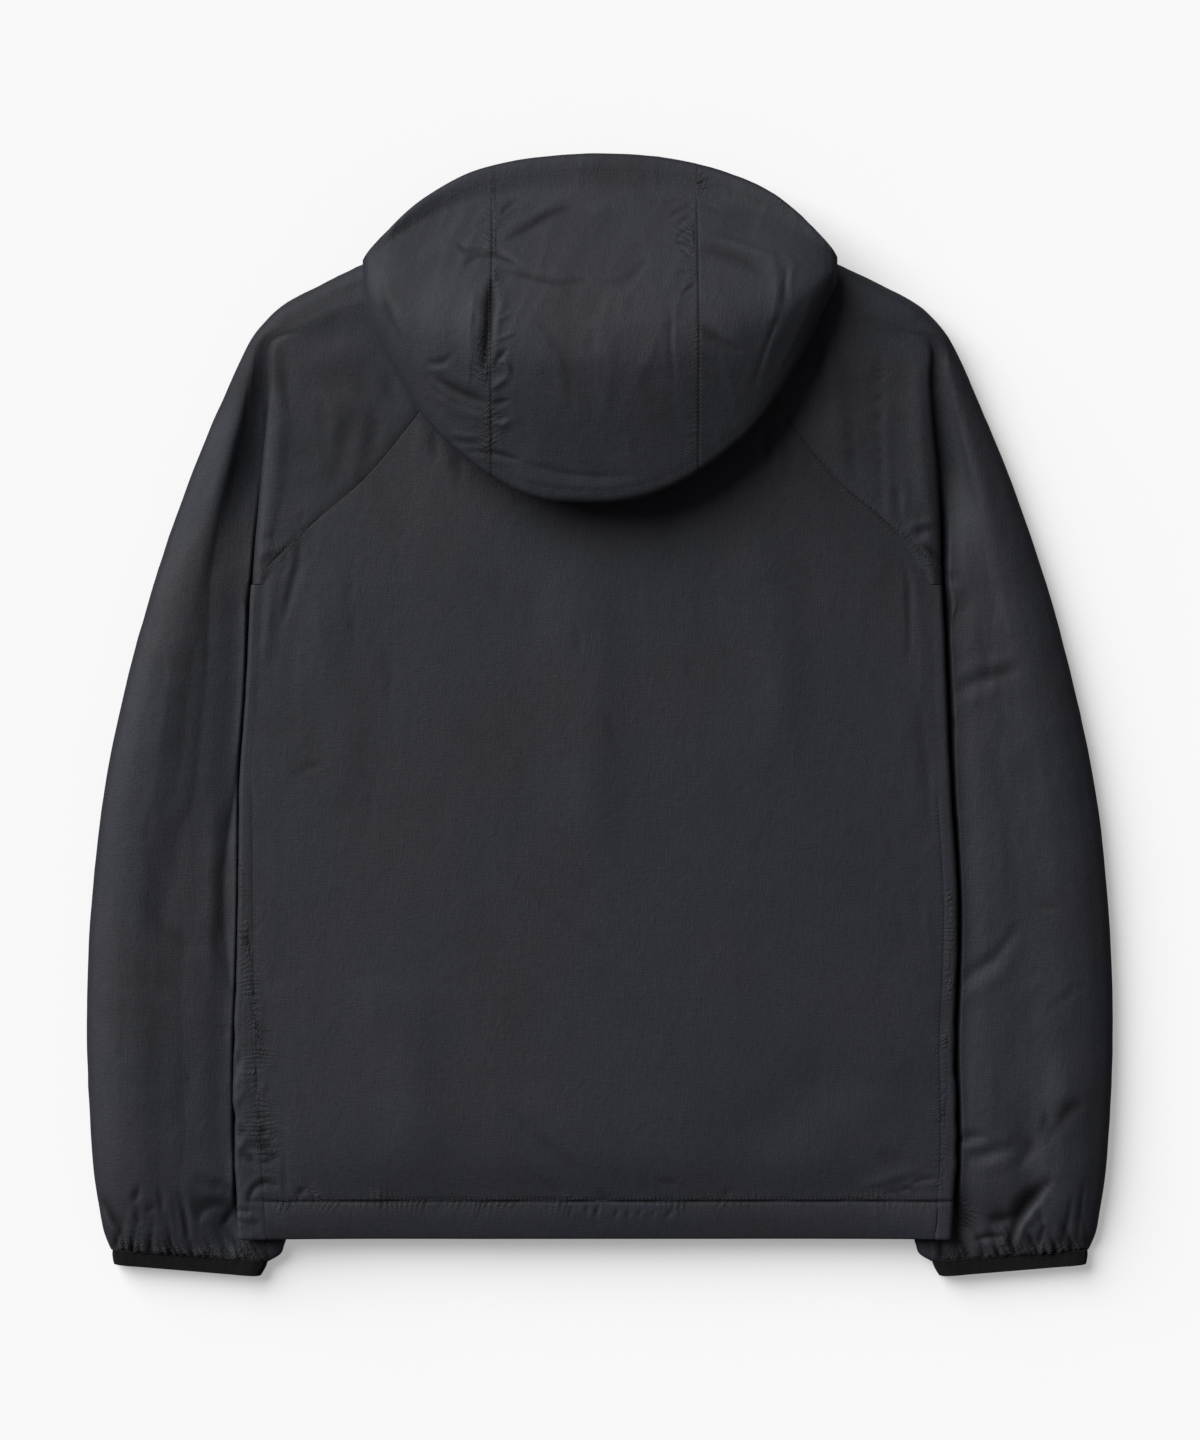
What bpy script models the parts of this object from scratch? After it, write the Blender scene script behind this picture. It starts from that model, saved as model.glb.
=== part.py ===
"""Hooded windbreaker jacket, laid out flat on its front with its sleeves drawn down beside it.

Metres. +Z is up, +Y points from hem to hood, and +X is the wearer's right. The floor is z = 0,
and the origin is on it, under the middle of the jacket. Each garment piece is a thin wall: an open
surface lofted through rows of points, thickened inwards by a Solidify modifier. Neighbouring
pieces share the rows along their seam and stop half a seam gap short of it.
"""

import bmesh
import bpy
import numpy as np

# Cloth
WALL = 0.0014  # shell cloth with its light backing
SEAM_GAP = 0.0004
NECK_GAP = 0.0016  # at the front neckline
HEM_WALL = 0.0034  # turned casing, two layers round a cord
CUFF_WALL = 0.0022  # knitted elastic binding
LAYER_GAP = 0.0016  # between cloths that lie on each other

# Body, seen from above
HEM_BOTTOM = -0.3915
HEM_HEIGHT = 0.029
HEM_SEAM = HEM_BOTTOM + HEM_HEIGHT
ARMPIT_Y = 0.098
BACK_NECK_Y = 0.344  # at the middle
FRONT_NECK_Y = 0.262
NECK_REACH = 0.0685  # from the zip to the front neckline's end
ZIP_HALF = 0.0036  # from the middle to each front's edge
BODY_HALF = 0.262

# Body, from the side
SIDE_TOP = 0.0255
MIDDLE_TOP = 0.031
HEM_DROP = 0.009
HEM_DROP_LENGTH = 0.075
SLEEVE_UNDER = 0.0120  # top of the sleeve where the body lies on it
FRONT_LIFT = SLEEVE_UNDER + LAYER_GAP
EDGE_ROUND = 0.0062  # how far the body's rounded side reaches in from its edge
UNDERARM_HEIGHT = 0.62  # the underarm seam's place on the sleeve's inner edge, as a share
ARMPIT_EASE = 0.0014  # more gap in the front raglan seam, beside the armpit
ARMPIT_SEAM_Z = 0.0078  # highest place of the sleeve's front raglan seam, under the armpit

# Hood
HOOD_TOP = 0.083
HOOD_RIM_HEIGHT = 0.021
HOOD_CORNER = 0.1765  # where its sides close to a point
HOOD_SEAM = {-1: -0.0800, 1: 0.0725}
CROWN_RISE = 0.034  # of the crown's fold, over the cloth that it lies on
RIM_TURN = 0.015
NECK_SIDE = (0.098, 0.368)
NECK_SLOPE = 2.6  # of the neckline at the front end of a sleeve

# Cuff, seen from above: the ends of its two edges, as (distance from the middle, y)
CUFF_TOP_OUTER = (0.3670, -0.4010)
CUFF_TOP_INNER = (0.2490, -0.4095)
CUFF_END_OUTER = (0.3660, -0.4115)
CUFF_END_INNER = (0.2545, -0.4207)
CUFF_THICK = 0.0135
GATHERS = 12  # on each face of a sleeve's end
GATHER_DEPTH = 0.0030

ROW_STEP = 0.023  # usual distance between points along a row

# Tables of (y, distance from the middle).
SLEEVE_OUTLINE = (
    (0.3680, 0.0980),
    (0.3560, 0.1400),
    (0.3375, 0.1800),
    (0.3160, 0.2240),
    (0.3010, 0.2475),
    (0.2870, 0.2590),
    (0.2670, 0.2700),
    (0.2370, 0.2835),
    (0.1770, 0.3080),
    (0.1170, 0.3295),
    (0.0570, 0.3470),
    (-0.0030, 0.3615),
    (-0.0630, 0.3730),
    (-0.1230, 0.3800),
    (-0.1830, 0.3840),
    (-0.2230, 0.3850),
    (-0.2630, 0.3843),
    (-0.3030, 0.3825),
    (-0.3430, 0.3795),
    (-0.3730, 0.3745),
    (-0.4010, 0.3670),
)
SLEEVE_INNER = (
    (0.0980, 0.2475),
    (0.0850, 0.2430),
    (0.0700, 0.2360),
    (0.0300, 0.2250),
    (-0.0300, 0.2170),
    (-0.1500, 0.2120),
    (-0.2500, 0.2150),
    (-0.3300, 0.2220),
    (-0.3700, 0.2290),
    (-0.3950, 0.2370),
    (-0.4090, 0.2490),
)
BODY_EDGE = {
    -1: (
        (-0.3915, 0.2705),
        (-0.3470, 0.2720),
        (-0.2510, 0.2730),
        (-0.1800, 0.2710),
        (-0.1040, 0.2695),
        (-0.0460, 0.2690),
        (0.0160, 0.2645),
        (0.0980, 0.2605),
        (0.1640, 0.2545),
        (0.2380, 0.2480),
        (0.2780, 0.2440),
    ),
    1: (
        (-0.3915, 0.2625),
        (-0.3280, 0.2660),
        (-0.2370, 0.2645),
        (-0.1990, 0.2660),
        (-0.1420, 0.2670),
        (-0.0650, 0.2625),
        (0.0160, 0.2590),
        (0.0980, 0.2560),
        (0.1680, 0.2540),
        (0.2320, 0.2480),
        (0.2870, 0.2455),
    ),
}
# How far the side seam lies in from the body's edge, on the upper face.
SIDE_SEAM_IN = {
    -1: ((-0.3915, 0.0215), (-0.3000, 0.0185), (-0.1750, 0.0120), (0.0980, 0.0095)),
    1: ((-0.3915, 0.0125), (-0.2500, 0.0110), (0.0980, 0.0095)),
}
# Raglan seams as (distance from the middle, y), neckline to armpit.
RAGLAN_BACK = (
    (0.0780, 0.3500),
    (0.0880, 0.3100),
    (0.1080, 0.2670),
    (0.1420, 0.2180),
    (0.1790, 0.1740),
    (0.2180, 0.1410),
)
RAGLAN_FRONT = (
    (0.0750, 0.3180),
    (0.0930, 0.2800),
    (0.1250, 0.2300),
    (0.1750, 0.1720),
    (0.2200, 0.1280),
    (0.2460, 0.0980),
)
FRONT_NECK_SHARES = (0.045, 0.09, 0.165, 0.21)  # more rows of the fronts, at the neckline
# Sleeve rows from the neck to the armpit. share: place along both raglan seams; fold and outline:
# y where the row crosses the shoulder fold and the outline; crease: how far the cloth drops behind
# the fold, as a share; tuck: how far it runs back under the fold, as a share; crest: top of the arm.
SHOULDER_ROWS = (
    # share  fold    outline  crease  tuck  crest
    (0.00, None, 0.3680, 0.00, 0.00, 0.0250),
    (0.12, None, 0.3570, 0.00, 0.00, 0.0265),
    (0.25, None, 0.3420, 0.00, 0.00, 0.0270),
    (0.37, None, 0.3240, 0.00, 0.00, 0.0270),
    (0.48, None, 0.3050, 0.00, 0.00, 0.0265),
    (0.58, 0.2780, 0.2850, 0.18, 0.00, 0.0240),
    (0.67, 0.2500, 0.2620, 0.50, 0.00, 0.0230),
    (0.76, 0.2200, 0.2330, 0.80, 0.20, 0.0230),
    (0.84, 0.1880, 0.2000, 1.00, 0.45, 0.0238),
    (0.91, 0.1530, 0.1640, 1.00, 0.70, 0.0245),
    (0.96, 0.1240, 0.1320, 1.00, 0.88, 0.0250),
    (1.00, 0.0986, 0.0986, 1.00, 1.00, 0.0250),
)
# Sleeve rows below the armpit. outer, inner: y at the outline and at the inner edge; crest: top
# of the arm; valley: height beside the body; edge: height of the inner fold; gather: 0 to 1.
ARM_ROWS = (
    # outer   inner     crest   valley  edge    gather
    (0.0850, 0.0850, 0.0252, 0.0120, 0.0120, 0.0),
    (0.0670, 0.0660, 0.0254, 0.0120, 0.0120, 0.0),
    (0.0400, 0.0380, 0.0256, 0.0120, 0.0120, 0.0),
    (0.0080, 0.0070, 0.0256, 0.0120, 0.0120, 0.0),
    (-0.0270, -0.0270, 0.0254, 0.0118, 0.0120, 0.0),
    (-0.0630, -0.0630, 0.0250, 0.0112, 0.0120, 0.0),
    (-0.1000, -0.1000, 0.0246, 0.0104, 0.0118, 0.0),
    (-0.1380, -0.1380, 0.0242, 0.0100, 0.0116, 0.0),
    (-0.1760, -0.1760, 0.0240, 0.0102, 0.0114, 0.0),
    (-0.2130, -0.2130, 0.0240, 0.0108, 0.0114, 0.0),
    (-0.2500, -0.2500, 0.0242, 0.0112, 0.0114, 0.0),
    (-0.2850, -0.2850, 0.0244, 0.0114, 0.0114, 0.0),
    (-0.3180, -0.3190, 0.0244, 0.0112, 0.0114, 0.0),
    (-0.3430, -0.3450, 0.0238, 0.0108, 0.0114, 0.25),
    (-0.3620, -0.3650, 0.0224, 0.0106, 0.0112, 0.55),
    (-0.3780, -0.3820, 0.0200, 0.0108, 0.0112, 0.85),
    (-0.3910, -0.3970, 0.0172, 0.0122, 0.0120, 1.0),
    (-0.3996, -0.4080, 0.0140, 0.0132, 0.0122, 1.0),
)
# Soft folds on the upper face: side, start and end as (x, y), half width and height (minus: a trough).
SOFT_FOLDS = (
    ("back_below_hood_left", (-0.205, 0.115), (-0.192, -0.070), 0.014, 0.0016),
    ("back_below_hood_right", (0.118, 0.150), (0.138, -0.040), 0.016, 0.0014),
    ("back_middle", (-0.020, 0.140), (0.004, -0.130), 0.024, 0.0018),
    ("back_low_left", (-0.165, -0.180), (-0.120, -0.345), 0.022, 0.0018),
    ("back_low_right", (0.080, -0.340), (0.200, -0.250), 0.022, -0.0016),
    ("shoulder_left", (-0.190, 0.290), (-0.200, 0.180), 0.014, 0.0018),
    ("shoulder_right", (0.185, 0.290), (0.178, 0.170), 0.014, 0.0018),
    ("arm_left_low", (-0.272, -0.372), (-0.318, -0.352), 0.008, -0.0040),
    ("arm_left_elbow", (-0.285, -0.085), (-0.345, -0.140), 0.016, -0.0022),
    ("arm_right_elbow", (0.268, 0.010), (0.330, 0.028), 0.012, -0.0030),
    ("arm_right_low", (0.275, -0.335), (0.330, -0.312), 0.010, -0.0034),
    ("arm_right_slant", (0.292, -0.388), (0.338, -0.338), 0.009, -0.0040),
    ("arm_right_upper", (0.330, -0.300), (0.372, -0.255), 0.012, 0.0022),
)

MATERIALS = {
    # name: (base colour, roughness, metallic)
    "shell": ((0.030, 0.032, 0.038, 1.0), 0.55, 0.0),
    "binding": ((0.012, 0.012, 0.013, 1.0), 0.85, 0.0),
    "zip_tape": ((0.016, 0.017, 0.019, 1.0), 0.80, 0.0),
    "zip_coil": ((0.018, 0.018, 0.020, 1.0), 0.50, 0.0),
    "zip_slider": ((0.055, 0.056, 0.060, 1.0), 0.40, 1.0),
}


# ---------------------------------------------------------------- curves


def smooth(table, at):
    """The value of a (key, value) table at a key, on a smooth curve through its rows."""
    table = np.array(table, float)
    keys, values = table[np.argsort(table[:, 0])].T
    slopes = np.gradient(values, keys)
    i = np.clip(np.searchsorted(keys, at) - 1, 0, len(keys) - 2)
    span = keys[i + 1] - keys[i]
    t = np.clip((at - keys[i]) / span, 0.0, 1.0)
    start = (1 + 2 * t) * (1 - t) ** 2 * values[i] + t * (1 - t) ** 2 * span * slopes[i]
    end = t * t * (3 - 2 * t) * values[i + 1] + t * t * (t - 1) * span * slopes[i + 1]
    return start + end


def ease(t):
    """0 to 1 with a soft start and end."""
    t = np.clip(t, 0.0, 1.0)
    return t * t * (3 - 2 * t)


def lengths_along(points):
    steps = np.linalg.norm(np.diff(points, axis=0), axis=1)
    return np.concatenate([[0.0], np.cumsum(steps)])


def spline(points, parts):
    """A smooth curve through the points, each span cut into its number of parts."""
    points = np.array(points, float)
    parts = np.broadcast_to(parts, len(points) - 1)
    keys = lengths_along(points)
    cuts = [
        np.linspace(keys[i], keys[i + 1], parts[i], endpoint=False) for i in range(len(parts))
    ]
    fine = np.concatenate([*cuts, keys[-1:]])
    return np.stack([smooth(np.stack([keys, c], 1), fine) for c in points.T], axis=1)


def resampled(points, count):
    """The same line with count evenly spaced points."""
    points = np.array(points, float)
    along = lengths_along(points)
    at = np.linspace(0.0, along[-1], count)
    return np.stack([np.interp(at, along, c) for c in points.T], axis=1)


def line(start, end, step=ROW_STEP):
    """Evenly spaced points from start to end, about a step apart."""
    start, end = np.array(start, float), np.array(end, float)
    count = max(2, int(round(np.linalg.norm(end - start) / step)) + 1)
    return start + (end - start) * np.linspace(0.0, 1.0, count)[:, None]


def seam_point(table, share, shift):
    """The plan point at a share of a seam's length, moved sideways by shift towards the sleeve."""
    fine = spline(table, 12)
    along = lengths_along(fine)
    point = np.array([np.interp(share * along[-1], along, c) for c in fine.T])
    near = np.clip(share * along[-1] + np.array([-0.004, 0.004]), 0.0, along[-1])
    ends = np.array([[np.interp(n, along, c) for c in fine.T] for n in near])
    run = (ends[1] - ends[0]) / np.linalg.norm(ends[1] - ends[0])
    return point + shift * np.array([-run[1], run[0]])


# ---------------------------------------------------------------- heights


def folds(x, y):
    """How far the soft folds lift the upper face at a plan point."""
    x, y = np.broadcast_arrays(x, y)
    lift = 0.0
    for _, start, end, width, height in SOFT_FOLDS:
        start, end = np.array(start), np.array(end)
        run = end - start
        offset = np.stack([x - start[0], y - start[1]], axis=-1)
        t = np.clip(offset @ run / (run @ run), 0.0, 1.0)
        off = np.linalg.norm(offset - t[..., None] * run, axis=-1)
        fade = ease(4 * t) * ease(4 * (1 - t))
        lift = lift + height * fade * np.exp(-((off / width) ** 2))
    return lift


def back_height(x, y):
    """Top of the back, and of the shoulders that carry on from it."""
    across = np.minimum(np.abs(x) / BODY_HALF, 1.0)
    height = SIDE_TOP + (MIDDLE_TOP - SIDE_TOP) * (1 - across**2)
    drop = ease((HEM_BOTTOM + HEM_DROP_LENGTH - y) / HEM_DROP_LENGTH)
    return height - HEM_DROP * drop * (1 - across**4) + folds(x, y)


def front_height(distance, y):
    """Underside of a front: on the floor, but lifted where a sleeve lies under it."""
    inner = smooth(SLEEVE_INNER, np.minimum(y, ARMPIT_Y))
    lift = ease((distance - inner + 0.024) / 0.028)
    above_armpit = 1 - ease((y - ARMPIT_Y) / 0.080)
    return FRONT_LIFT * lift * above_armpit


# ---------------------------------------------------------------- surfaces


def joined_faces(points, first, second):
    """Faces between two rows of point numbers, whose lengths may differ."""
    if len(first) == len(second):
        return [
            (first[i], first[i + 1], second[i + 1], second[i])
            for i in range(len(first) - 1)
        ]
    shares = []
    for numbers in (first, second):
        along = lengths_along(np.array([points[n] for n in numbers]))
        middles = 0.5 * (along[:-1] + along[1:]) / along[-1]
        shares.append([*middles, 2.0])
    faces, i, j = [], 0, 0
    while i < len(first) - 1 or j < len(second) - 1:
        if shares[0][i] <= shares[1][j]:
            faces.append((first[i], first[i + 1], second[j]))
            i += 1
        else:
            faces.append((first[i], second[j + 1], second[j]))
            j += 1
    return faces


def sheet(name, rows, wall, inwards, material):
    """A wall lofted through rows. A row is {stretch name: points}; stretches that two rows share
    are joined. inwards is 1 where the wall grows along the faces' normals, and -1 against them."""
    points, faces, last = [], [], {}
    for row in rows:
        numbers = {}
        for stretch, line_points in row.items():
            numbers[stretch] = range(len(points), len(points) + len(line_points))
            points.extend(tuple(p) for p in line_points)
            if stretch in last:
                faces.extend(joined_faces(points, last[stretch], numbers[stretch]))
        last = numbers
    mesh = bpy.data.meshes.new(name)
    mesh.from_pydata(points, [], faces)
    shape = bmesh.new()
    shape.from_mesh(mesh)
    bmesh.ops.remove_doubles(shape, verts=shape.verts, dist=1e-5)
    loose = [v for v in shape.verts if not v.link_faces]
    bmesh.ops.delete(shape, geom=loose, context="VERTS")
    shape.to_mesh(mesh)
    shape.free()
    mesh.shade_smooth()
    obj = add_object(name, mesh, material)
    thicken = obj.modifiers.new("wall", "SOLIDIFY")
    thicken.thickness = wall
    thicken.offset = inwards
    thicken.use_even_offset = False
    return obj


def add_object(name, mesh, material):
    obj = bpy.data.objects.new(name, mesh)
    obj.data.materials.append(material)
    bpy.data.collections["windbreaker_jacket"].objects.link(obj)
    return obj


def plan(distance, y, side, z):
    """Points from distances out from the middle, on one side of the jacket."""
    distance, y, z = np.broadcast_arrays(distance, y, z)
    return np.stack([side * distance, y, z], axis=-1)


# ---------------------------------------------------------------- body


def body_rows_y():
    """y of the rows that the back and the fronts share, from the hem seam to the armpit."""
    return np.linspace(HEM_SEAM + SEAM_GAP / 2, ARMPIT_Y - SEAM_GAP / 2, 17)


def side_seam(side, y):
    """Distance of the side seam from the middle."""
    return smooth(BODY_EDGE[side], y) - smooth(SIDE_SEAM_IN[side], y)


def raglan_back(side):
    """The back raglan seam, ended at this side's armpit."""
    return (*RAGLAN_BACK, (side_seam(side, ARMPIT_Y), ARMPIT_Y))


def raglan_shares():
    return [row[0] for row in SHOULDER_ROWS]


def seam_chord(table, share, shift):
    """seam_point, but on the straight lines between the sleeve's rows."""
    shares = raglan_shares()
    points = np.array([seam_point(table, s, shift) for s in shares])
    return np.array([np.interp(share, shares, c) for c in points.T])


def back_neck(x):
    rise = RAGLAN_BACK[0][1] - BACK_NECK_Y
    return BACK_NECK_Y + rise * (x / RAGLAN_BACK[0][0]) ** 2


def back_panel(shell):
    rows = []
    for y in body_rows_y():
        ends = [side * (side_seam(side, y) - SEAM_GAP / 2) for side in (-1, 1)]
        x = line([ends[0]], [ends[1]])[:, 0]
        rows.append({"back": plan(x, y, 1, back_height(x, y))})
    for share in raglan_shares()[-2::-1]:
        left, right = (
            seam_point(raglan_back(side), share, -SEAM_GAP / 2) for side in (-1, 1)
        )
        xy = line((-left[0], left[1]), right)
        if share == 0.0:
            xy[:, 1] = back_neck(xy[:, 0])
        rows.append({"back": plan(xy[:, 0], xy[:, 1], 1, back_height(*xy.T))})
    return sheet("back", rows, WALL, -1, shell)


def side_wrap(side, y, seam):
    """Cloth round the body's side, from under its edge to the side seam on top."""
    edge = smooth(BODY_EDGE[side], y)
    top = back_height(side * (edge - EDGE_ROUND), y)
    bottom = front_height(edge - EDGE_ROUND, y)
    wrap = side_round(edge, top, bottom)
    flat = line([edge - EDGE_ROUND], [seam], 0.009)[1:, 0]
    on_top = plan(flat, y, side, back_height(side * flat, y))
    return np.concatenate([plan(wrap[::-1, 0], y, side, wrap[::-1, 1]), on_top])


def side_round(edge, top, bottom):
    """The body's rounded side as (distance, height), from its top to its bottom."""
    angles = np.radians(np.linspace(90, -90, 6))
    distance = edge - EDGE_ROUND * (1 - np.cos(angles))
    return np.stack([distance, (top + bottom) / 2 + (top - bottom) / 2 * np.sin(angles)], 1)


def front_under(side, y, start, end):
    """Cloth of a front on the floor, from the zip or neckline out to a distance."""
    distance = line([start], [end])[:, 0]
    return plan(distance, y, side, front_height(distance, y))


def front_neck(y):
    """Distance of the front neckline from the middle."""
    rise = RAGLAN_FRONT[0][1] - FRONT_NECK_Y
    return ZIP_HALF + NECK_REACH * np.sqrt(np.clip((y - FRONT_NECK_Y) / rise, 0.0, 1.0))


def front_body_row(side, y):
    """A row of a front or its hem, from the zip round the body's side to the side seam."""
    edge = smooth(BODY_EDGE[side], y)
    inner = smooth(SLEEVE_INNER, y) if y < ARMPIT_Y - 0.001 else RAGLAN_FRONT[-1][0]
    return {
        "under": front_under(side, y, ZIP_HALF, inner),
        "tucked": front_under(side, y, inner, edge - EDGE_ROUND),
        "wrap": side_wrap(side, y, side_seam(side, y) + SEAM_GAP / 2),
    }


def front_panel(side, name, shell):
    rows = [front_body_row(side, y) for y in body_rows_y()]
    shares = sorted({*raglan_shares()[:-1], *FRONT_NECK_SHARES}, reverse=True)
    for share in shares:
        seam = seam_chord(RAGLAN_FRONT, share, -SEAM_GAP / 2)
        start = max(ZIP_HALF, front_neck(seam[1]))
        rows.append({"under": front_under(side, seam[1], start, seam[0])})
    return sheet(name, rows, WALL, side, shell)


def hem_back(shell):
    """The turned hem below the back: a soft roll."""
    rows = []
    for share, bulge in ((0.0, -0.0004), (0.3, 0.0009), (0.7, 0.0007), (1.0, -0.0012)):
        y = HEM_BOTTOM + (HEM_HEIGHT - SEAM_GAP / 2) * (1 - share)
        ends = [side * (side_seam(side, y) - SEAM_GAP / 2) for side in (-1, 1)]
        x = line([ends[0]], [ends[1]])[:, 0]
        rows.append({"hem": plan(x, y, 1, back_height(x, y) + bulge)})
    return sheet("hem_back", rows, HEM_WALL, 1, shell)


def hem_front(side, name, shell):
    """The turned hem below a front, carried round the body's side."""
    rows = []
    for share in (0.0, 0.5, 1.0):
        y = HEM_BOTTOM + (HEM_HEIGHT - SEAM_GAP / 2) * (1 - share)
        rows.append(front_body_row(side, y))
    return sheet(name, rows, HEM_WALL, -side, shell)


# ---------------------------------------------------------------- sleeves


def arm_profile(reach, top, crease, tuck, crest):
    """The arm's section outside the shoulder fold, as (distance from the fold, height): round the
    fold and back under it, then out over the arm to the floor."""
    small = min(1.0, reach / 0.060)
    bottom = top - crease * (top - FRONT_LIFT)
    valley = top - crease * (top - SLEEVE_UNDER)
    round_side = side_round(0.0, top, bottom)
    level = np.linspace(-EDGE_ROUND, 0.6 * EDGE_ROUND, len(round_side))
    round_side[:, 0] = crease * round_side[:, 0] + (1 - crease) * level
    round_side[:, 0] *= max(small, 0.75)
    pocket = round_side[-1, 0] - 0.0005
    turn = (1 - crease) * 0.0085 * small + crease * pocket - tuck
    arm = spline(
        (
            (turn, valley),
            (0.5 * turn + 0.0090 * small, valley),
            (0.0240 * small, 0.4 * valley + 0.6 * crest),
        ),
        1,
    )
    if turn < pocket:
        turned = [(turn, bottom), (turn - 0.0008, (bottom + valley) / 2)]
    else:
        shares = np.array([[1 / 3], [2 / 3]])
        turned = round_side[-1] * (1 - shares) + arm[0] * shares
    fold = np.concatenate([round_side, turned])
    over = ((0.50 * reach, crest), (reach - 0.013 * small, 0.90 * crest))
    return fold, np.array([*arm, *over, *outer_edge(reach, crest, small)])


def outer_edge(reach, crest, small=1.0):
    """The rounded outer edge of a sleeve, down to the floor."""
    return (
        (reach - 0.0035 * small, 0.68 * crest),
        (reach, 0.40 * crest),
        (reach - 0.0035 * small, 0.12 * crest),
        (reach - 0.0120 * small, 0.0),
    )


def shoulder_row(side, share, fold_y, outline_y, crease, tuck, crest):
    """A sleeve row from the back raglan seam over the shoulder to the front raglan seam."""
    start = seam_point(raglan_back(side), share, SEAM_GAP / 2)
    end = seam_point(RAGLAN_FRONT, share, SEAM_GAP / 2 + ARMPIT_EASE * ease((share - 0.8) / 0.1))
    outline = np.array([smooth(SLEEVE_OUTLINE, outline_y), outline_y])
    if fold_y is None:
        run = outline - start
        fold = outline - run * min(0.056 * (1 - share) / np.linalg.norm(run), 0.8)
    else:
        fold = np.array([smooth(BODY_EDGE[side], fold_y), fold_y])
    reach = np.linalg.norm(outline - fold)
    out = (outline - fold) / reach
    top = float(back_height(side * (fold[0] - EDGE_ROUND), fold[1]))
    armpit = smooth(BODY_EDGE[side], ARMPIT_Y) - RAGLAN_FRONT[-1][0]
    depth = max(armpit - EDGE_ROUND - 0.0035, 0.0)
    rows = {}
    for name, profile in zip(("fold", "arm"), arm_profile(reach, top, crease, tuck * depth, crest)):
        xy = fold + profile[:, :1] * out
        upper = ease((profile[:, 0] - 0.012) / 0.010) * ease((profile[:, 1] - 0.008) / 0.004)
        lift = folds(side * xy[:, 0], xy[:, 1]) * upper
        rows[name] = plan(xy[:, 0], xy[:, 1], side, profile[:, 1] + lift)
    rows["fold"] = np.concatenate([rows["fold"], rows["arm"][:1]])
    first, last = rows["fold"][0] * (side, 1, 1), rows["arm"][-1] * (side, 1, 1)
    shoulder_xy = line(start, first[:2])
    shoulder_z = back_height(side * shoulder_xy[:, 0], shoulder_xy[:, 1])
    shoulder_z[-1] = first[2]
    rows["shoulder"] = plan(shoulder_xy[:, 0], shoulder_xy[:, 1], side, shoulder_z)
    under_xy = line(last[:2], end)
    from_seam = np.linalg.norm(under_xy - end, axis=1)
    rise = 0.030 - 0.020 * ease((share - 0.8) / 0.2)
    seam_z = min(float(front_height(*end)), ARMPIT_SEAM_Z)
    under_z = seam_z * ease(1 - from_seam / rise)
    rows["under"] = plan(under_xy[:, 0], under_xy[:, 1], side, under_z)
    return rows


def arm_row(side, outer_y, inner_y, crest, valley, edge_height, gather):
    """A sleeve row below the armpit: a flattened tube, open by a gap at its underarm seam."""
    outer = smooth(SLEEVE_OUTLINE, outer_y)
    inner = smooth(SLEEVE_INNER, inner_y)
    body = smooth(BODY_EDGE[side], max(inner_y, HEM_BOTTOM))
    seam_z = UNDERARM_HEIGHT * edge_height
    beside = max(body + 0.006, inner + 0.025)
    top = (
        (inner, seam_z),
        (inner, seam_z + 0.0012),
        (inner + 0.0014, 0.90 * edge_height),
        (inner + 0.0050, edge_height),
        (0.5 * (inner + 0.005 + beside), 0.5 * (edge_height + valley)),
        (beside, valley),
        (beside + 0.018, 0.34 * valley + 0.66 * crest),
        (0.54 * beside + 0.46 * outer, crest),
        (outer - 0.013, 0.90 * crest),
        *outer_edge(outer, crest),
    )
    bottom = (
        (outer - 0.0120, 0.0),
        (0.5 * (outer + inner), 0.0),
        (inner + 0.0075, 0.0),
        (inner + 0.0014, 0.22 * edge_height),
        (inner, seam_z - 0.0018),
        (inner, seam_z - SEAM_GAP),
    )
    parts = (3, 4, 3, 4, 6) if gather else (1, 2, 1, 2, 2)
    arm = spline(top, (1, 1, 1, *parts, 1, 1, 1, 1))
    under = spline(bottom, (11, 11, 1, 1, 1) if gather else (3, 3, 1, 1, 1))
    if gather:
        gathered(arm[3:25], gather)
        gathered(under[:23], gather)
    rows = {}
    for name, section in (("arm", arm), ("under", under)):
        share = (section[:, 0] - inner) / (outer - inner)
        y = inner_y + (outer_y - inner_y) * share
        upper = ease((section[:, 1] - 0.008) / 0.004) * ease((section[:, 0] - body) / 0.012)
        lift = folds(side * section[:, 0], y) * upper
        rows[name] = plan(section[:, 0], y, side, np.maximum(section[:, 1] + lift, 0.0))
    return rows


def gathered(section, strength):
    """Draws every second point of a section inwards, as the elastic gathers the cloth."""
    run = np.gradient(section, axis=0)
    run /= np.linalg.norm(run, axis=1)[:, None]
    inwards = np.stack([run[:, 1], -run[:, 0]], axis=1)
    uneven = 0.75 + 0.25 * np.sin(1.9 * np.arange(len(section)))
    section[1::2] += (GATHER_DEPTH * strength * uneven)[1::2, None] * inwards[1::2]


def sleeve(side, name, shell):
    rows = [shoulder_row(side, *row) for row in SHOULDER_ROWS]
    rows += [arm_row(side, *row) for row in ARM_ROWS]
    return sheet(name, rows, WALL, side, shell)


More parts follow.
